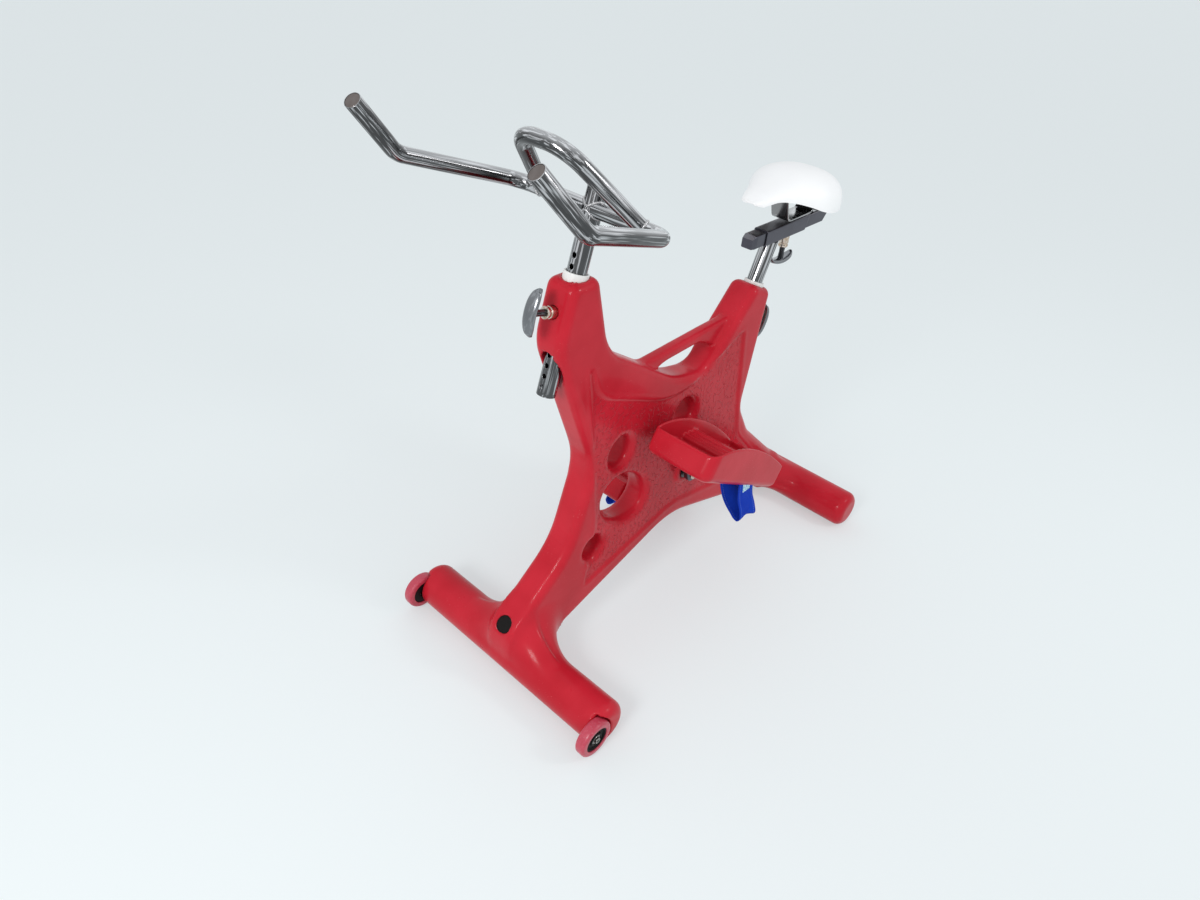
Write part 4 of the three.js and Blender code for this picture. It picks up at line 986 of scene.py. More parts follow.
def swept(path, section, side, tail=(), closed=False):
    """Rows of a section carried along a path. The section's first axis stays square to side,
    and each tail row is the last one moved along and resized."""
    if closed:
        way = unit(np.roll(path, -1, axis=0) - np.roll(path, 1, axis=0))
    else:
        way = unit(np.gradient(path, axis=0))
    first = unit(np.cross(np.broadcast_to(side, way.shape), way))
    second = np.cross(way, first)
    around = section[None, :, :1] * first[:, None] + section[None, :, 1:] * second[:, None]
    rows = [path[:, None] + around]
    for along, size in tail:
        rows.append((path[-1] + along * way[-1] + size * around[-1])[None])
    return np.concatenate(rows)


def circle(radius, sides=48):
    """A round section."""
    turn = once_round(sides)
    return radius * np.stack((np.cos(turn), np.sin(turn)), axis=1)


def weld_bead(name, origin, along, radius, other_origin, other_way, other_radius, body):
    """A rippled bead along the line where one round bar runs out of another: for each point
    round the first bar, the distance along it at which it leaves the second."""
    along, other_way = unit(np.array(along, float)), unit(np.array(other_way, float))
    turn = once_round(WELD_POINTS)[:, None]
    first = unit(np.cross(along, other_way))
    second = np.cross(along, first)
    start = np.array(origin) + radius * (np.cos(turn) * first + np.sin(turn) * second)

    def square(vectors):
        return vectors - (vectors @ other_way)[..., None] * other_way

    offset, pace = square(start - other_origin), square(along)
    lean = offset @ pace
    room = lean ** 2 - pace @ pace * (np.sum(offset ** 2, axis=1) - other_radius ** 2)
    reach = (-lean + np.sqrt(np.maximum(room, 0))) / (pace @ pace)
    path = start + reach[:, None] * along
    ripple = 1 + WELD_RIPPLE * np.abs(np.sin(np.arange(len(path)) * np.pi / 6))[:, None, None]
    rows = swept(path, circle(1, 12), along, closed=True)
    rows = path[:, None] + (rows - path[:, None]) * WELD_RADIUS * ripple
    mesh = closed_skin(name, rows, wrap_rows=True, sharp=None)
    return new_piece(name, mesh, body, weld_steel, "polished_steel")


DISC_BROWN, DISC_GREY = (0.16, 0.13, 0.12, 1), (0.24, 0.21, 0.20, 1)
WELD_COLOUR = (0.74, 0.73, 0.74, 1)


def end_disc(name):
    """Flat steel disc with a dull brown-grey cast and scratches from use."""
    material, place = new_material(name)
    long = place.node("Mapping", sockets={0: place, 3: (60, 900, 60)})
    hair = noise(long, 1.0, 2.0)
    cloud = noise(place, 120, 3.0)
    return finished(material, place, {
        "Base Color": cloud.mix(DISC_BROWN, DISC_GREY), "Metallic": 1.0,
        "Roughness": hair * 0.2 + 0.3, "Normal": bumped(hair, 0.00003)})


bar_steel = polished_steel("bar_steel")
weld_steel = polished_steel("weld_steel", WELD_COLOUR, 0.26, 0.4)
disc_steel = end_disc("disc_steel")
bar_path = rounded_corners(BAR_CORNERS, BAR_BEND, closed=False, steps=15) + cross_place
tip_way = unit(bar_path[-1] - bar_path[-2])
bar_rows = np.delete(swept(bar_path, circle(BAR_RADIUS), (0.3, 0, 1), TIP_ROWS),
                     len(bar_path) - 1, axis=0)
for side, name in SIDES:
    turn = np.array((1, side, 1))
    skin_piece("side_bar_" + name, bar_rows * turn, "handlebar", bar_steel, "polished_steel",
               "handlebar_" + name, sharp=45)
    turned_piece("end_disc_" + name, (
        (0, -DISC_THICKNESS, 0), (DISC_RADIUS, -DISC_THICKNESS, 0), (DISC_RADIUS, -GAP, DISC_EDGE),
        (0, -GAP / 3, 0)), bar_path[-1] * turn, frame_along(tip_way * turn), "handlebar",
        disc_steel, "end_disc", "bar_end_" + name)
    foot = np.array(LOOP_FOOT) * turn + cross_place
    leg_way = (np.array(LOOP_CROWN) - LOOP_FOOT) * turn
    weld_bead("loop_weld_" + name, foot, leg_way, BAR_RADIUS, cross_place, (0, 1, 0), BAR_RADIUS,
              "handlebar")
    weld_bead("post_weld_" + name, cross_place, (0, side, 0), BAR_RADIUS, front_mast[0],
              front_mast[1][2], POST_RADIUS, "handlebar")
loop_corners = np.array((LOOP_FOOT, LOOP_CROWN, LOOP_CROWN, LOOP_FOOT), float)
loop_corners[2:, 1] *= -1
loop_path = rounded_corners(loop_corners, LOOP_BEND, closed=False, steps=21) + cross_place
loop_face = np.cross(loop_corners[1] - loop_corners[0], (0, 1, 0))
skin_piece("loop_bar", swept(loop_path, circle(BAR_RADIUS), loop_face), "handlebar", bar_steel,
           "polished_steel", "centre_loop")

# The saddle slide is a square sleeve welded level on the saddle post and a square bar that runs
# in it. Both are satin grey steel with bright sawn edges; a chamfered plug closes the bar.
SLEEVE_ENDS, SLEEVE_WALL, SLEEVE_SLANT, SLEEVE_ROUNDING = (-0.128, 0.047), 0.0022, 0.014, 0.0030
RAIL_SIZE, RAIL_ENDS, RAIL_WALL, RAIL_SLANT = 0.030, (-0.221, 0.083), 0.0025, 0.026
RAIL_ROUNDING = 0.0025
SLIDE_PITCH = 0.015
# Rows of the plug: place along the bar, then its size and its top, in shares of the bar's size
PLUG_ROWS = ((0.0833, 1, 0.5), (0.0860, 1, 0.5), (0.0868, 0.985, 0.5), (0.0965, 0.90, 0.26),
             (0.0970, 0.87, 0.22))
SATIN_DARK, SATIN_LIGHT = (0.075, 0.073, 0.087, 1), (0.11, 0.107, 0.13, 1)
# The painted highlight on faces that look up
SATIN_PAINTED_TOP_LIGHT = (0.27, 0.26, 0.28, 1)


def satin_steel(name):
    """Satin grey steel, brushed along its length, with a painted highlight on faces that look up."""
    material, place = new_material(name)
    # Painted highlight: faces that look up are painted lighter
    painted_light_by_facing = place.node("TexCoord", output=1).split("Z").step(0.5, 0.95)
    long = place.node("Mapping", sockets={0: place, 3: (30, 700, 700)})
    hair = noise(long, 1.0, 3.0)
    cloud = noise(place, 30, 3.0)
    return finished(material, place, {
        "Base Color": (painted_light_by_facing * 0.8).mix(cloud.mix(SATIN_DARK, SATIN_LIGHT), SATIN_PAINTED_TOP_LIGHT),
        "Metallic": 1.0, "Roughness": hair * 0.16 + 0.24, "Normal": bumped(hair, 0.00003)})


slide_steel = satin_steel("slide_steel")


def rounded_square(size, rounding, steps=7):
    """A square outline with round corners that starts in the middle of its lower side."""
    half = size / 2
    outline = rounded_corners(((half, -half), (half, half), (-half, half), (-half, -half)),
                              rounding, steps=steps)
    return np.concatenate(((0, -half), outline.ravel(), (0, -half))).reshape(-1, 2)


def lengths_along(path):
    """The length of a path from its start to each of its points."""
    return np.concatenate(((0,), np.cumsum(np.linalg.norm(np.diff(path, axis=0), axis=1))))


def square_tube(name, node, size, rounding, ends, slant, wall, holes, body):
    """A square tube along X with holes in its underside and a slanted rear end."""
    ring_line = rounded_square(size, rounding)
    lengths = lengths_along(ring_line)

    def wall_at(around, along):
        around = around % lengths[-1]
        y = np.interp(around, lengths, ring_line[:, 0])
        z = np.interp(around, lengths, ring_line[:, 1])
        share = np.clip((ends[0] + slant - along) / slant, 0, 1)
        return np.stack((along + slant * share * (0.5 - z / size), y, z), axis=1) + slide_place

    mesh = punched_wall(name, wall_at, lengths[-1], *ends, holes, SLIDE_PITCH, HOLE_RADIUS, 60)
    mesh.set_sharp_from_angle(angle=math.radians(30))
    return walled(new_piece(name, mesh, body, slide_steel, "dark_steel", node), wall, 0.0006)


square_tube("sleeve_tube", "slide_sleeve", SLEEVE_SIZE, SLEEVE_ROUNDING, SLEEVE_ENDS,
            SLEEVE_SLANT, SLEEVE_WALL, [-SLIDE_PIN_AT], "saddle_mast")
square_tube("rail_tube", "slide_bar", RAIL_SIZE, RAIL_ROUNDING, RAIL_ENDS, RAIL_SLANT, RAIL_WALL,
            [step * SLIDE_PITCH - SLIDE_PIN_AT for step in range(-1, 6)], "saddle")


def rail_plug():
    """The plug: rounded squares that close in towards its face, with a steep top chamfer."""
    outline = rounded_square(1, 0.08)[1:-1]
    rows = []
    for x, shrink, top in PLUG_ROWS:
        y = outline[:, 0] * shrink
        z = np.where(outline[:, 1] > 0, outline[:, 1] * 2 * top, outline[:, 1] * shrink)
        rows.append(np.stack((np.full(len(y), x / RAIL_SIZE), y, z), axis=1) * RAIL_SIZE)
    return np.array(rows) + slide_place


skin_piece("rail_plug", rail_plug(), "saddle", slide_steel, "dark_steel", "slide_bar_cap",
           sharp=25)

# The saddle is one smooth moulding of white self-skinning foam on a black pan: wide and low at
# the rear, a narrow nose with a drooping lip, and an arched rim along each side.
SADDLE_LENGTH, SADDLE_HALF, SADDLE_NOSE = 0.275, 0.098, 0.112
SADDLE_RIM, SADDLE_HEIGHT, SADDLE_HOLLOW = 0.058, 0.080, 0.009
PAN_THICKNESS, PAN_EDGE = 0.007, 0.0022
PAN_ENDS_SHARES, PAN_WIDTH_SHARE = (0.08, 0.84), 0.8
# Powers of the oval across the saddle, over its width and height, and the deepest hollow as a
# share of the height over the rim
OVAL_WIDE, OVAL_HIGH, HOLLOW_SHARE = 0.8, 0.75, 0.3
# Where the lilac cast starts and is full, behind and above the slide's place
LILAC_BEHIND, LILAC_ABOVE = (0.10, 0.17), (0.09, 0.055)
# Share of the length from the rear, then half width, crown and rim as shares
SADDLE_SHARES = np.array((
    (0, 0.3, 0.46, 0.21), (0.03, 0.52, 0.59, 0.1), (0.08, 0.74, 0.73, 0.025),
    (0.18, 0.93, 0.875, -0.01), (0.32, 1, 0.975, 0), (0.46, 0.97, 1, 0.11),
    (0.6, 0.8, 0.94, 0.29), (0.72, 0.6, 0.825, 0.4), (0.84, 0.42, 0.71, 0.44),
    (0.93, 0.33, 0.61, 0.39), (0.98, 0.24, 0.5, 0.36), (1, 0.12, 0.425, 0.375)))


def through(marks, values, at):
    """A smooth curve through values at marks: each piece is a cubic whose end slopes are the
    mean of the slopes beside it."""
    slopes = np.gradient(values, marks)
    piece = np.clip(np.searchsorted(marks, at, side="right") - 1, 0, len(marks) - 2)
    run = marks[piece + 1] - marks[piece]
    t = (at - marks[piece]) / run
    return ((1 + 2 * t) * (1 - t) ** 2 * values[piece] + t * (1 - t) ** 2 * run * slopes[piece]
            + t * t * (3 - 2 * t) * values[piece + 1] + t * t * (t - 1) * run * slopes[piece + 1])


def saddle_rows(share):
    """Half width, crown height and rim height along the saddle, and its place in X."""
    wide, crown, rim = (through(SADDLE_SHARES[:, 0], SADDLE_SHARES[:, i], share) for i in (1, 2, 3))
    x = SADDLE_NOSE - SADDLE_LENGTH + share * SADDLE_LENGTH
    return (x[:, None], wide[:, None] * SADDLE_HALF, SADDLE_RIM + crown[:, None] * SADDLE_HEIGHT,
            SADDLE_RIM + rim[:, None] * SADDLE_HEIGHT)


def saddle_skin():
    """Across each row the top is a full oval from rim to rim, and the underside is hollow."""
    share = 0.5 - 0.5 * np.cos(np.linspace(0, np.pi, 70))
    x, half, crown, rim = saddle_rows(share)
    turn = np.linspace(0, np.pi, 61)[None]
    y = half * signed_power(np.cos(turn), OVAL_WIDE)
    z = rim + (crown - rim) * np.maximum(np.sin(turn), 0) ** OVAL_HIGH
    top = np.stack((np.broadcast_to(x, y.shape), y, z), axis=-1)
    under = np.linspace(-1, 1, 31)[None, 1:-1]
    dip = rim + np.minimum(SADDLE_HOLLOW, HOLLOW_SHARE * (crown - rim)) * (1 - under ** 2)
    bottom = np.stack((np.broadcast_to(x, dip.shape), half * under, dip), axis=-1)
    return np.concatenate((top, bottom), axis=1) + slide_place


FOAM_WHITE, FOAM_SHADE, FOAM_LILAC = tint(254, 254, 253), tint(250, 250, 251), tint(214, 205, 232)


def saddle_foam(name):
    """Smooth white foam skin, faintly lilac towards the rear edge, with a fine pore."""
    material, place = new_material(name)
    rear = place.split("X").step(*(float(slide_place[0]) - back for back in LILAC_BEHIND))
    low = place.split("Z").step(*(float(slide_place[2]) + up for up in LILAC_ABOVE))
    cloud = noise(place, 22, 3.0)
    colour = (rear * low * 0.8).mix(cloud.mix(FOAM_WHITE, FOAM_SHADE), FOAM_LILAC)
    return finished(material, place, {
        "Base Color": colour, "Roughness": cloud * 0.12 + 0.34,
        "Normal": bumped(noise(place, 900, 2.0), 0.00006),
        "Coat Weight": 0.15, "Coat Roughness": 0.3})


saddle_white = saddle_foam("saddle_white")
saddle = skin_piece("saddle_top", saddle_skin(), "saddle", saddle_white, "saddle_white",
                    "saddle_shell", sharp=60)


def pan_skin():
    """The pan follows the saddle's hollow between two depths under it."""
    x, half, crown, rim = saddle_rows(np.linspace(*PAN_ENDS_SHARES, 36))
    under = np.linspace(-PAN_WIDTH_SHARE, PAN_WIDTH_SHARE, 33)[None]
    dip = rim + SADDLE_HOLLOW * (1 - under ** 2)
    edge = PAN_EDGE * (np.abs(under) / PAN_WIDTH_SHARE) ** 8
    x = np.broadcast_to(x, dip.shape)
    low = np.stack((x, half * under, dip - PAN_THICKNESS + edge), axis=-1)
    high = np.stack((x, half * under, dip - 2 * GAP), axis=-1)
    return np.concatenate((low, high[:, ::-1]), axis=1) + slide_place


pan_black = black_plastic("pan_black")
skin_piece("saddle_base", pan_skin(), "saddle", pan_black, "black_plastic", "saddle_pan",
           sharp=40)

# The saddle stands on a bent stainless strip: a U-shaped cradle under the pan, and a narrower
# foot behind the sleeve, held to the slide bar by one socket-head bolt.
BRACKET_WIDTH, BRACKET_THICKNESS, BRACKET_BEND = 0.044, 0.004, 0.014
BRACKET_FRONT, BRACKET_REAR, BRACKET_LIFT = 0.012, 0.138, 0.006
BRACKET_FOOT_FROM, BRACKET_FOOT_LENGTH, BRACKET_FOOT_BEND = 0.147, 0.036, 0.004
BRACKET_EDGE = 0.0012
BRACKET_COLOUR = (0.80, 0.80, 0.81, 1)
SCREW_RADIUS, SCREW_LENGTH, SCREW_HEAD, SCREW_HEAD_HEIGHT = 0.004, 0.012, 0.0065, 0.0065
SCREW_SOCKET, SCREW_SOCKET_DEPTH, SCREW_DRILL = 0.003, 0.003, 0.0003


def strip_skin(corners, width, bend, under_pan=False):
    """A flat strip with round edges carried along a path in the side view. Points above the
    saddle's underside are let down onto the pan."""
    path = rounded_corners([(x, 0, z) for x, z in corners], bend, closed=False, steps=10)
    lengths = lengths_along(path)
    along = np.linspace(0, lengths[-1], 90)
    path = np.stack([np.interp(along, lengths, path[:, i]) for i in range(3)], axis=1)
    half = np.array((BRACKET_THICKNESS / 2, width / 2))
    corners = np.array(((1, 1), (-1, 1), (-1, -1), (1, -1))) * half
    grid = swept(path, rounded_corners(corners, BRACKET_EDGE, steps=5), (0, 1, 0))
    if under_pan:
        share = np.clip((grid[..., 0] - SADDLE_NOSE + SADDLE_LENGTH) / SADDLE_LENGTH, 0, 1)
        wide, rim = (row.reshape(share.shape) for row in saddle_rows(share.ravel())[1::2])
        roof = rim + SADDLE_HOLLOW * (1 - np.minimum(np.abs(grid[..., 1]) / wide, 1) ** 2)
        grid[..., 2] = np.minimum(grid[..., 2], roof - PAN_THICKNESS - GAP)
    return grid + slide_place


cradle_low = SLEEVE_SIZE / 2 + BRACKET_LIFT + BRACKET_THICKNESS / 2
foot_middle = RAIL_SIZE / 2 + GAP + BRACKET_THICKNESS / 2
saddle_top_z = SADDLE_RIM + SADDLE_HEIGHT
bracket_steel = polished_steel("bracket_steel", BRACKET_COLOUR, 0.14, 0.35)
skin_piece("bracket_cradle", strip_skin((
    (SADDLE_RIM / 2 - BRACKET_FRONT, saddle_top_z), (-2 * BRACKET_FRONT, cradle_low),
    (BRACKET_FRONT - BRACKET_REAR, cradle_low), (-BRACKET_REAR, saddle_top_z)),
    BRACKET_WIDTH, BRACKET_BEND, under_pan=True), "saddle", bracket_steel, "polished_steel",
    "saddle_bracket", sharp=40)
skin_piece("bracket_foot", strip_skin((
    (3 * BRACKET_FRONT - BRACKET_REAR, cradle_low), (-BRACKET_FOOT_FROM, cradle_low),
    (-BRACKET_FOOT_FROM - BRACKET_THICKNESS, foot_middle),
    (-BRACKET_FOOT_FROM - BRACKET_FOOT_LENGTH, foot_middle)), BRACKET_WIDTH / 2,
    BRACKET_FOOT_BEND), "saddle", bracket_steel, "polished_steel", sharp=40)
seat = RAIL_SIZE / 2 + GAP + BRACKET_THICKNESS
head, socket = seat + SCREW_HEAD_HEIGHT, seat + SCREW_HEAD_HEIGHT - SCREW_SOCKET_DEPTH
turned_piece("bracket_screw", (
    (0, seat - SCREW_LENGTH, 0), (SCREW_RADIUS, seat - SCREW_LENGTH, 0),
    (SCREW_RADIUS, seat + GAP, 0), (SCREW_HEAD, seat + GAP, 3 * TENTH), (SCREW_HEAD, head, 8 * TENTH),
    (SCREW_SOCKET, head, 2 * TENTH), (SCREW_SOCKET, socket, 0), (0, socket - SCREW_DRILL, 0)),
    slide_place - (BRACKET_FOOT_FROM + BRACKET_FOOT_LENGTH / 2, 0, 0), np.eye(3), "saddle",
    bracket_steel, "polished_steel", "saddle_bracket_bolt")

# The crank is a steel axle through the frame with a satin arm on each end, opposite ways, each
# held by a bronze-coloured bolt and carrying a pedal's spindle.
CRANK_LENGTH = 0.150
CRANK_ANGLE = math.radians(70.4)
ARM_INSIDE, ARM_OUTSIDE = 0.046, 0.060
ARM_HUB, ARM_EYE, ARM_ROUNDING = 0.020, 0.015, 0.0022
ARM_BOLT_NECK, ARM_BOLT_FLANGE, ARM_BOLT_HEAD, ARM_BOLT_SOCKET = 0.010, 0.013, 0.0105, 0.0065
ARM_BOLT_FLANGE_HEIGHT, ARM_BOLT_HEIGHT, ARM_BOLT_FLOOR = 0.0035, 0.005, 0.003
SPINDLE_RADIUS, SPINDLE_FLANGE, SPINDLE_REACH = 0.007, 0.011, 0.204
TRAY_INSIDE = 0.068


def arm_skin(origin, axes):
    """Two round ends joined by their tangents. Rows go over the edge by an arc that draws both
    circles in, so every row keeps the same shape."""
    lean = math.acos((ARM_HUB - ARM_EYE) / CRANK_LENGTH)
    arc = np.linspace(0, np.pi / 2, 5)
    inset = ARM_ROUNDING * (1 - np.sin(arc))
    depth = ARM_ROUNDING * (1 - np.cos(arc))
    inset = np.concatenate((inset, inset[::-1]))[:, None]
    level = np.concatenate((ARM_INSIDE + depth, ARM_OUTSIDE - depth[::-1]))[:, None]
    parts = []
    for x, radius, start, end in ((CRANK_LENGTH, ARM_EYE, -lean, lean),
                                  (0, ARM_HUB, lean, 2 * math.pi - lean)):
        turn = np.linspace(start, end, 24)
        parts.append(np.stack((x + (radius - inset) * np.cos(turn), level + 0 * turn,
                               (radius - inset) * np.sin(turn)), axis=-1))
    return placed(np.concatenate(parts, axis=1), origin, axes)


SPINDLE_COLOUR = (0.56, 0.56, 0.58, 1)

bronze = warm_nickel("bronze")
arm_steel = satin_steel("arm_steel")
spindle_steel = polished_steel("spindle_steel", SPINDLE_COLOUR, 0.2)
for node in ("crank_axle", "crank_bearing_left", "crank_bearing_right"):
    finish_node(node, spindle_steel)
eyes = {}
for side, name in SIDES:
    turn = CRANK_ANGLE if side > 0 else CRANK_ANGLE + math.pi
    way = np.array((math.cos(turn), 0, math.sin(turn)))
    axes = np.array((way, (0, side, 0), np.cross(way, (0, 1, 0))))
    eyes[name] = CRANK_PLACE + CRANK_LENGTH * way
    skin_piece("arm_" + name, arm_skin(CRANK_PLACE, axes), "crank", arm_steel, "dark_steel",
               "crank_" + name, sharp=50)
    outward = frame_along((0, side, 0), (0, 0, 1))
    seat, top = ARM_OUTSIDE + GAP, ARM_OUTSIDE + ARM_BOLT_HEIGHT
    turned_piece("arm_bolt_" + name, (
        (0, seat - 2 * GAP, 0), (ARM_BOLT_NECK, seat - 2 * GAP, 0), (ARM_BOLT_NECK, seat, 0),
        (ARM_BOLT_FLANGE, seat, 4 * TENTH),
        (ARM_BOLT_FLANGE, ARM_OUTSIDE + ARM_BOLT_FLANGE_HEIGHT, 12 * TENTH),
        (ARM_BOLT_HEAD, top, 8 * TENTH), (ARM_BOLT_SOCKET, top, 3 * TENTH),
        (ARM_BOLT_SOCKET - 5 * TENTH, ARM_OUTSIDE + ARM_BOLT_FLOOR, 0),
        (0, ARM_OUTSIDE + ARM_BOLT_FLOOR, 0)),
        CRANK_PLACE, outward, "crank", bronze, "nickel", "crank_bolt_" + name)
    start, end = ARM_INSIDE + GAP, TRAY_INSIDE - 2 * GAP
    turned_piece("spindle_" + name, (
        (0, start, 0), (SPINDLE_RADIUS, start, 6 * TENTH), (SPINDLE_RADIUS, seat, 0),
        (SPINDLE_FLANGE, seat, 5 * TENTH), (SPINDLE_FLANGE, end, 5 * TENTH), (SPINDLE_RADIUS, end, 0),
        (SPINDLE_RADIUS, SPINDLE_REACH, 8 * TENTH), (0, SPINDLE_REACH, 0)),
        eyes[name], outward, "crank", spindle_steel, "polished_steel", "pedal_spindle_" + name)

# Each pedal is a deep moulded tray of the same red plastic, heavier at its heel so that it hangs
# level enough to step into. Its long walls rise in an arch, and a ribbed bar across its floor
# covers the spindle.
TRAY_FRONT, TRAY_REAR, TRAY_WIDTH = 0.158, 0.198, 0.154
TRAY_TOP, TRAY_BOTTOM, TRAY_ARCH = -0.002, 0.052, 0.038
TRAY_WALL, TRAY_FLOOR = 0.0045, 0.015
TRAY_ROUNDING, TRAY_PLAN_ROUNDING, TRAY_NEAR_ROUNDING = 0.018, 0.024, 0.008
TRAY_LIP_EDGE, TRAY_SCOOP_ROUNDING = 0.002, 0.006
TRAY_STEP, TRAY_CHART_STEP, TRAY_CHART_MARGIN = 0.0024, 0.001, 0.02
TRAY_BORE, TRAY_BORE_END = 0.0103, 0.2046
# The bar over the spindle is a hump with ribs along its slopes, and more ribs on the floor
HUMP_HEIGHT, HUMP_HALF, HUMP_FALL, HUMP_SLOPE = 0.01333, 0.044, 0.42, 1.085
HUMP_RIBS, HUMP_RIB_RADIUS, HUMP_RIB_FILLET = (0.008, 0.022, 0.036), 0.0036, 0.0025
FLOOR_RIBS, FLOOR_RIB_RADIUS, FLOOR_RIB_FILLET = (0.064, 0.078, 0.132, 0.145), 0.0045, 0.003
FLOOR_RIB_SINK, FLOOR_RIB_SQUASH = 0.001, 1.2
HUMP_FILLET, TRAY_INNER_EDGE, TRAY_BORE_EDGE = 0.004, 0.0018, 0.001
HEEL_DROP = math.radians(29.5)

tray_plan = rounded_corners((
    (TRAY_FRONT, TRAY_INSIDE), (TRAY_FRONT, TRAY_INSIDE + TRAY_WIDTH),
    (-TRAY_REAR, TRAY_INSIDE + TRAY_WIDTH), (-TRAY_REAR, TRAY_INSIDE)),
    (TRAY_NEAR_ROUNDING, TRAY_PLAN_ROUNDING, TRAY_PLAN_ROUNDING, TRAY_NEAR_ROUNDING), steps=10)
tray_chart = charted(
    (-TRAY_REAR - TRAY_CHART_MARGIN, TRAY_INSIDE - TRAY_CHART_MARGIN),
    (TRAY_FRONT + TRAY_CHART_MARGIN, TRAY_INSIDE + TRAY_WIDTH + TRAY_CHART_MARGIN),
    TRAY_CHART_STEP, lambda x, y: outline_depth(x, y, tray_plan))


def tray_depth(x, y, z):
    """A rounded tray: plan and bottom joined by a round edge, the arched top cut off, the
    inside scooped out round the bar that covers the spindle."""
    plan = tray_chart(x, y)
    share = np.clip((TRAY_FRONT - x) / (TRAY_FRONT + TRAY_REAR), 0, 1)
    top = TRAY_TOP + TRAY_ARCH * np.sin(np.pi * share ** 0.8) ** 0.75
    solid = rounded_slab(plan, -TRAY_BOTTOM - z, TRAY_ROUNDING)
    solid = carved(solid, top - z, TRAY_LIP_EDGE)
    out = np.abs(x)
    bar = (out * HUMP_FALL + z - HUMP_HEIGHT) / HUMP_SLOPE
    bar = np.maximum(bar, out - HUMP_HALF)
    ribs = [np.hypot(out - at, z - HUMP_HEIGHT + HUMP_FALL * at) for at in HUMP_RIBS]
    bar = joined(bar, np.minimum.reduce(ribs) - HUMP_RIB_RADIUS, HUMP_RIB_FILLET)
    rise = (z + TRAY_FLOOR + FLOOR_RIB_SINK) * FLOOR_RIB_SQUASH
    ribs = [np.hypot(x - at, rise) for at in FLOOR_RIBS]
    bar = joined(bar, np.minimum.reduce(ribs) - FLOOR_RIB_RADIUS, FLOOR_RIB_FILLET)
    scoop = rounded_slab(plan + TRAY_WALL, -TRAY_FLOOR - z, TRAY_SCOOP_ROUNDING)
    solid = carved(solid, carved(scoop, bar, HUMP_FILLET), TRAY_INNER_EDGE)
    bore = np.maximum(np.hypot(x, z) - TRAY_BORE, y - TRAY_BORE_END)
    return carved(solid, bore, TRAY_BORE_EDGE)


tray_points, tray_quads = netted(
    tray_depth, (-TRAY_REAR, TRAY_INSIDE, -TRAY_BOTTOM),
    (TRAY_FRONT, TRAY_INSIDE + TRAY_WIDTH, TRAY_TOP + TRAY_ARCH), TRAY_STEP)
tray_axes = np.array(((math.cos(HEEL_DROP), 0, math.sin(HEEL_DROP)), (0, 1, 0),
                      (-math.sin(HEEL_DROP), 0, math.cos(HEEL_DROP))))
tray_red = red_plastic("tray_red")
for side, name in SIDES:
    axes = tray_axes * ((1, 1, 1), (1, side, 1), (1, 1, 1))
    points = placed(tray_points, eyes[name], axes)
    mesh = quad_mesh("tray_" + name, points, tray_quads if side > 0 else tray_quads[:, ::-1])
    new_piece("tray_" + name, mesh, name + "_pedal", tray_red, "red_plastic", "pedal_" + name)
    finish_node("pedal_bush_" + name, collar_white)

# A loop of royal blue webbing hangs under each pedal: two layers from its underside, folded
# together at the bottom, with pale stitching and the pale end of a sewn-in elastic.
STRAP_WIDTH, STRAP_THICKNESS, STRAP_BEHIND, STRAP_TWIST = 0.048, 0.0024, 0.020, 0.22
# Points of the loop as places outwards and over the pedal's axle
STRAP_SPOTS = ((0.1570, -0.026), (0.1620, -0.052), (0.1750, -0.085), (0.1930, -0.114),
               (0.2110, -0.134), (0.2205, -0.1440), (0.2270, -0.1465), (0.2320, -0.1410),
               (0.2290, -0.124), (0.2185, -0.100), (0.2135, -0.070), (0.2130, -0.026))
RIB_PITCH, WARP_PITCH, STITCH_PITCH = 0.0016, 0.0011, 0.0042
STITCH_LINE, ELASTIC_ENDS, ELASTIC_HALF = 0.0195, (0.212, 0.240), 0.011
# How far the webbing waves outwards, up and along the pedal in the middle of its loop
STRAP_WAVE_OUT, STRAP_WAVE_UP, STRAP_SWAY = 0.0030, 0.0026, 0.004
WEBBING_BLUE, WEBBING_LIGHT, WEBBING_DEEP = tint(8, 48, 168), tint(16, 66, 192), tint(6, 34, 130)
STITCH_COLOUR, ELASTIC_BLUE, ELASTIC_PALE = tint(120, 150, 215), tint(60, 168, 205), tint(225, 236, 240)


def strap_skin(side):
    """Webbing along a smooth curve through its spots, wider than it is thick, with a lazy wave
    over its width and a lengthwise coordinate in metres."""
    spots = np.array(STRAP_SPOTS)
    lengths = lengths_along(spots)
    along = np.linspace(0, lengths[-1], 110)
    y, z = (through(lengths, spots[:, i], along)[:, None] for i in (0, 1))
    over = np.linspace(-0.5, 0.5, 22)[None]
    share = along[:, None] / lengths[-1]
    loose = np.sin(np.pi * share)
    y = y + STRAP_WAVE_OUT * loose * np.sin(over * 4.2 + share * 9)
    z = z + STRAP_WAVE_UP * loose * np.cos(over * 5.0 + 0.7)
    x = over * STRAP_WIDTH - STRAP_BEHIND + STRAP_SWAY * loose * np.sin(share * 5) + 0 * y
    y = y - STRAP_TWIST * loose * over * STRAP_WIDTH
    return np.stack((x, side * y, z), axis=-1), along, over[0] * STRAP_WIDTH


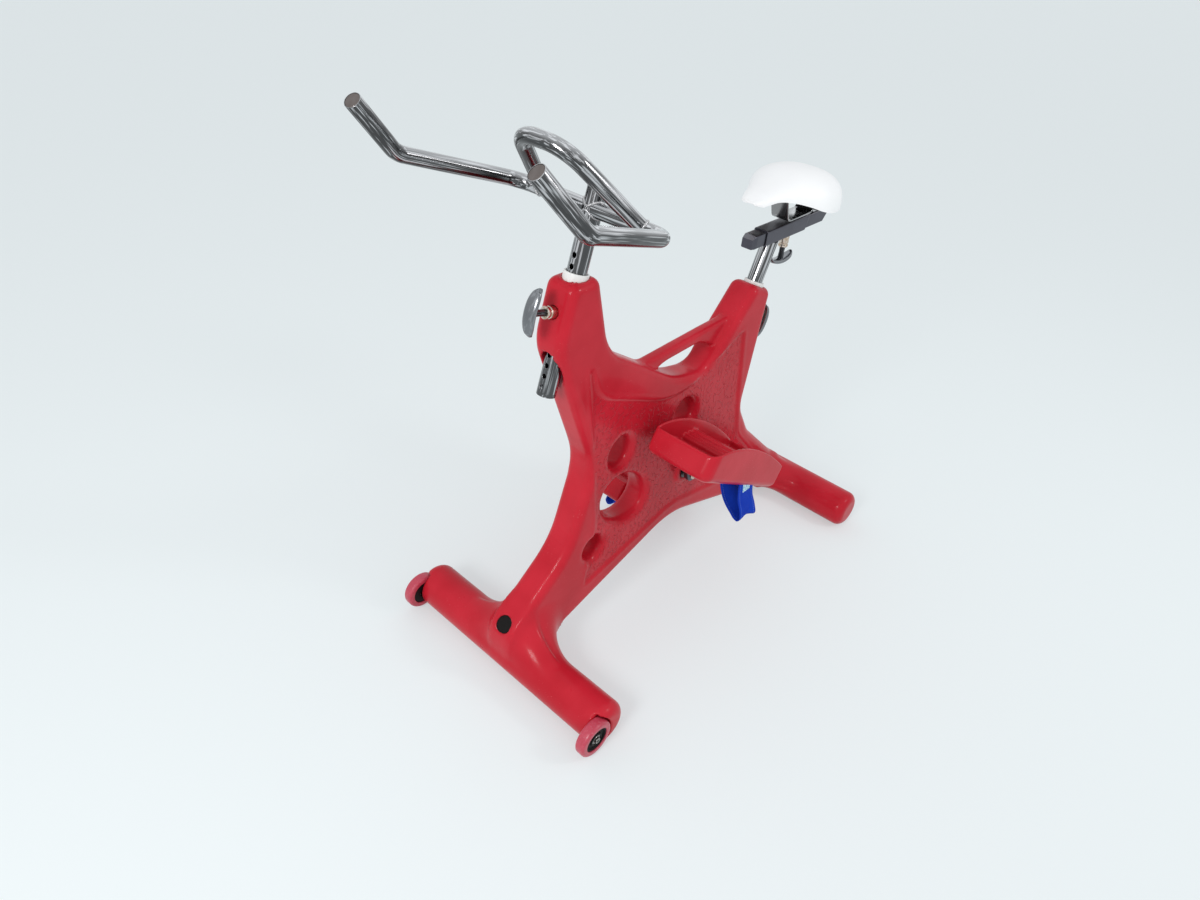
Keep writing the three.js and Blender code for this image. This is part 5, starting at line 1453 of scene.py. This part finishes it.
def blue_webbing(name):
    """Woven polyester: ribs across the width and a finer warp, a pale line of stitches along
    each edge, and a mottled pale blue end on the outer layer."""
    material, place = new_material(name)
    uv = place.node("UVMap", {"uv_map": "webbing"})
    along, over = uv.split("X"), uv.split("Y")
    from_middle = over.math("ABSOLUTE")

    def wave(length, pitch):
        return (length * (2 * math.pi / pitch)).math("SINE")

    weave = wave(along, RIB_PITCH) * wave(over, WARP_PITCH) * 0.5 + 0.5
    edge = 1 - (from_middle - STITCH_LINE).math("ABSOLUTE").step(0.0003, 0.0007)
    stitch = edge * wave(along, STITCH_PITCH).step(-0.1, 0.1)
    pale, past = (along.step(end, end + 0.002) for end in ELASTIC_ENDS)
    pale = pale * (1 - past) * (1 - from_middle.step(ELASTIC_HALF, ELASTIC_HALF + 0.002))
    block = noise(uv, 420, 1.0).step(0.47, 0.53)
    elastic = block.mix(ELASTIC_BLUE, ELASTIC_PALE)
    blue = noise(place, 40, 3.0).mix(WEBBING_BLUE, WEBBING_LIGHT)
    blue = (weave * 0.35).mix(blue, WEBBING_DEEP)
    colour = (stitch * 0.6).mix(pale.mix(blue, elastic), STITCH_COLOUR)
    height = weave * 0.6 + stitch * 0.6
    return finished(material, place, {
        "Base Color": colour, "Roughness": 0.72, "Normal": bumped(height, 0.0003),
        "Specular IOR Level": 0.15})


strap_blue = blue_webbing("strap_blue")
for side, name in SIDES:
    grid, along, over = strap_skin(side)
    rows, columns = grid.shape[:2]
    quads = grid_quads(rows, columns, False, False)
    if side > 0:
        quads = quads[:, ::-1]
    points = grid.reshape(-1, 3) + eyes[name] * (1, 0, 1)
    mesh = quad_mesh("strap_" + name, points, quads)
    webbing = np.stack(np.meshgrid(along, over, indexing="ij"), axis=-1).reshape(-1, 2)
    layer = mesh.uv_layers.new(name="webbing")
    layer.data.foreach_set("uv", webbing[quads.ravel()].astype(np.float32).ravel())
    strap = new_piece("strap_" + name, mesh, name + "_pedal", strap_blue, "blue_webbing",
                      "pedal_strap_" + name)
    thick = strap.modifiers.new("webbing", "SOLIDIFY")
    thick.thickness, thick.offset = STRAP_THICKNESS, 0

# A small wheel at each end of the front foot lets the bike be tipped and rolled: a pinkish red
# polyurethane tyre on a black hub, with a ball bearing and a bright socket-head bolt.
TYRE_INNER, TYRE_ROUNDING = 0.028, 0.006
HUB_INSET, HUB_LIP, HUB_DISH, HUB_DISH_SLOPE = 0.002, 0.003, 0.0035, 0.0015
WHEEL_BEARING_RADIUS, WHEEL_BEARING_HALF = 0.011, 0.009
SHIELD_RADII, SHIELD_DEPTH, SHIELD_SLOPE = (0.0092, 0.0072), 0.0008, 0.0004
WHEEL_BOLT_RADIUS, WHEEL_BOLT_HEAD, WHEEL_BOLT_PAST = 0.004, 0.0065, 0.024
WHEEL_BOLT_HEIGHT, WHEEL_BOLT_SOCKET, WHEEL_BOLT_FLOOR = 0.0047, 0.0032, 0.0020
TYRE_RED, TYRE_PINK, TYRE_SCUFF = tint(178, 50, 70), tint(196, 72, 92), tint(214, 132, 142)
WHEEL_BOLT_COLOUR = (0.7, 0.68, 0.64, 1)


def red_tyre(name):
    """Smooth polyurethane, paler and softer than the frame, scuffed round its tread."""
    material, place = new_material(name)
    cloud = noise(place, 90, 3.0)
    scuff = noise(place, 300, 3.0).step(0.58, 0.7)
    return finished(material, place, {
        "Base Color": (scuff * 0.35).mix(cloud.mix(TYRE_RED, TYRE_PINK), TYRE_SCUFF),
        "Roughness": scuff * 0.25 + 0.30, "Normal": bumped(cloud, 0.0001),
        "Subsurface Weight": 0.12, "Subsurface Radius": (0.012, 0.004, 0.004),
        "Subsurface Scale": 0.4})


tyre_red = red_tyre("tyre_red")
hub_black = black_plastic("hub_black")
bolt_steel = polished_steel("bolt_steel", WHEEL_BOLT_COLOUR, 0.16)
half = WHEEL_WIDTH / 2
for side, name in SIDES:
    origin = WHEEL_PLACE * (1, side, 1)
    outward = frame_along((0, side, 0), (0, 0, 1))
    body = name + "_wheel"
    turned_piece("tyre_" + name, (
        (TYRE_INNER, -half, 8 * TENTH), (WHEEL_RADIUS, -half, TYRE_ROUNDING),
        (WHEEL_RADIUS, half, TYRE_ROUNDING), (TYRE_INNER, half, 15 * TENTH)),
        origin, outward, body, tyre_red, "red_tyre", "wheel_tyre_" + name, sides=96)
    bore, rim = WHEEL_BEARING_RADIUS + GAP, TYRE_INNER - GAP
    deep, dish = half - HUB_INSET, half - HUB_INSET - HUB_DISH
    turned_piece("hub_" + name, (
        (bore, -deep, 4 * TENTH), (rim, -deep, 6 * TENTH), (rim, deep, 8 * TENTH),
        (rim - HUB_LIP, deep, 8 * TENTH), (rim - HUB_LIP - HUB_DISH_SLOPE, dish, 10 * TENTH),
        (bore + HUB_LIP + HUB_DISH_SLOPE, dish, 10 * TENTH), (bore + HUB_LIP, deep, 8 * TENTH),
        (bore, deep, 4 * TENTH)),
        origin, outward, body, hub_black, "black_plastic", "wheel_hub_" + name)
    inner, face, shield = (WHEEL_BOLT_RADIUS + GAP, WHEEL_BEARING_HALF,
                           WHEEL_BEARING_HALF - SHIELD_DEPTH)
    turned_piece("race_" + name, (
        (inner, -face, 0), (WHEEL_BEARING_RADIUS, -face, 4 * TENTH),
        (WHEEL_BEARING_RADIUS, face, 5 * TENTH), (SHIELD_RADII[0], face, 2 * TENTH),
        (SHIELD_RADII[0] - SHIELD_SLOPE, shield, 2 * TENTH),
        (SHIELD_RADII[1] + SHIELD_SLOPE, shield, 2 * TENTH), (SHIELD_RADII[1], face, 2 * TENTH),
        (inner, face, 0)),
        origin, outward, body, bolt_steel, "polished_steel", "wheel_bearing_" + name)
    seat, tip = face + GAP, GAP - half - WHEEL_BOLT_PAST
    head, floor_level = seat + WHEEL_BOLT_HEIGHT, seat + WHEEL_BOLT_FLOOR
    turned_piece("wheel_screw_" + name, (
        (0, tip, 0), (WHEEL_BOLT_RADIUS, tip, 5 * TENTH), (WHEEL_BOLT_RADIUS, seat, 0),
        (WHEEL_BOLT_HEAD, seat, 3 * TENTH), (WHEEL_BOLT_HEAD, head, 10 * TENTH),
        (WHEEL_BOLT_SOCKET, head, 2 * TENTH), (WHEEL_BOLT_SOCKET - 2 * TENTH, floor_level, 0),
        (0, floor_level, 0)),
        origin, outward, "frame", bolt_steel, "polished_steel", "wheel_bolt_" + name)
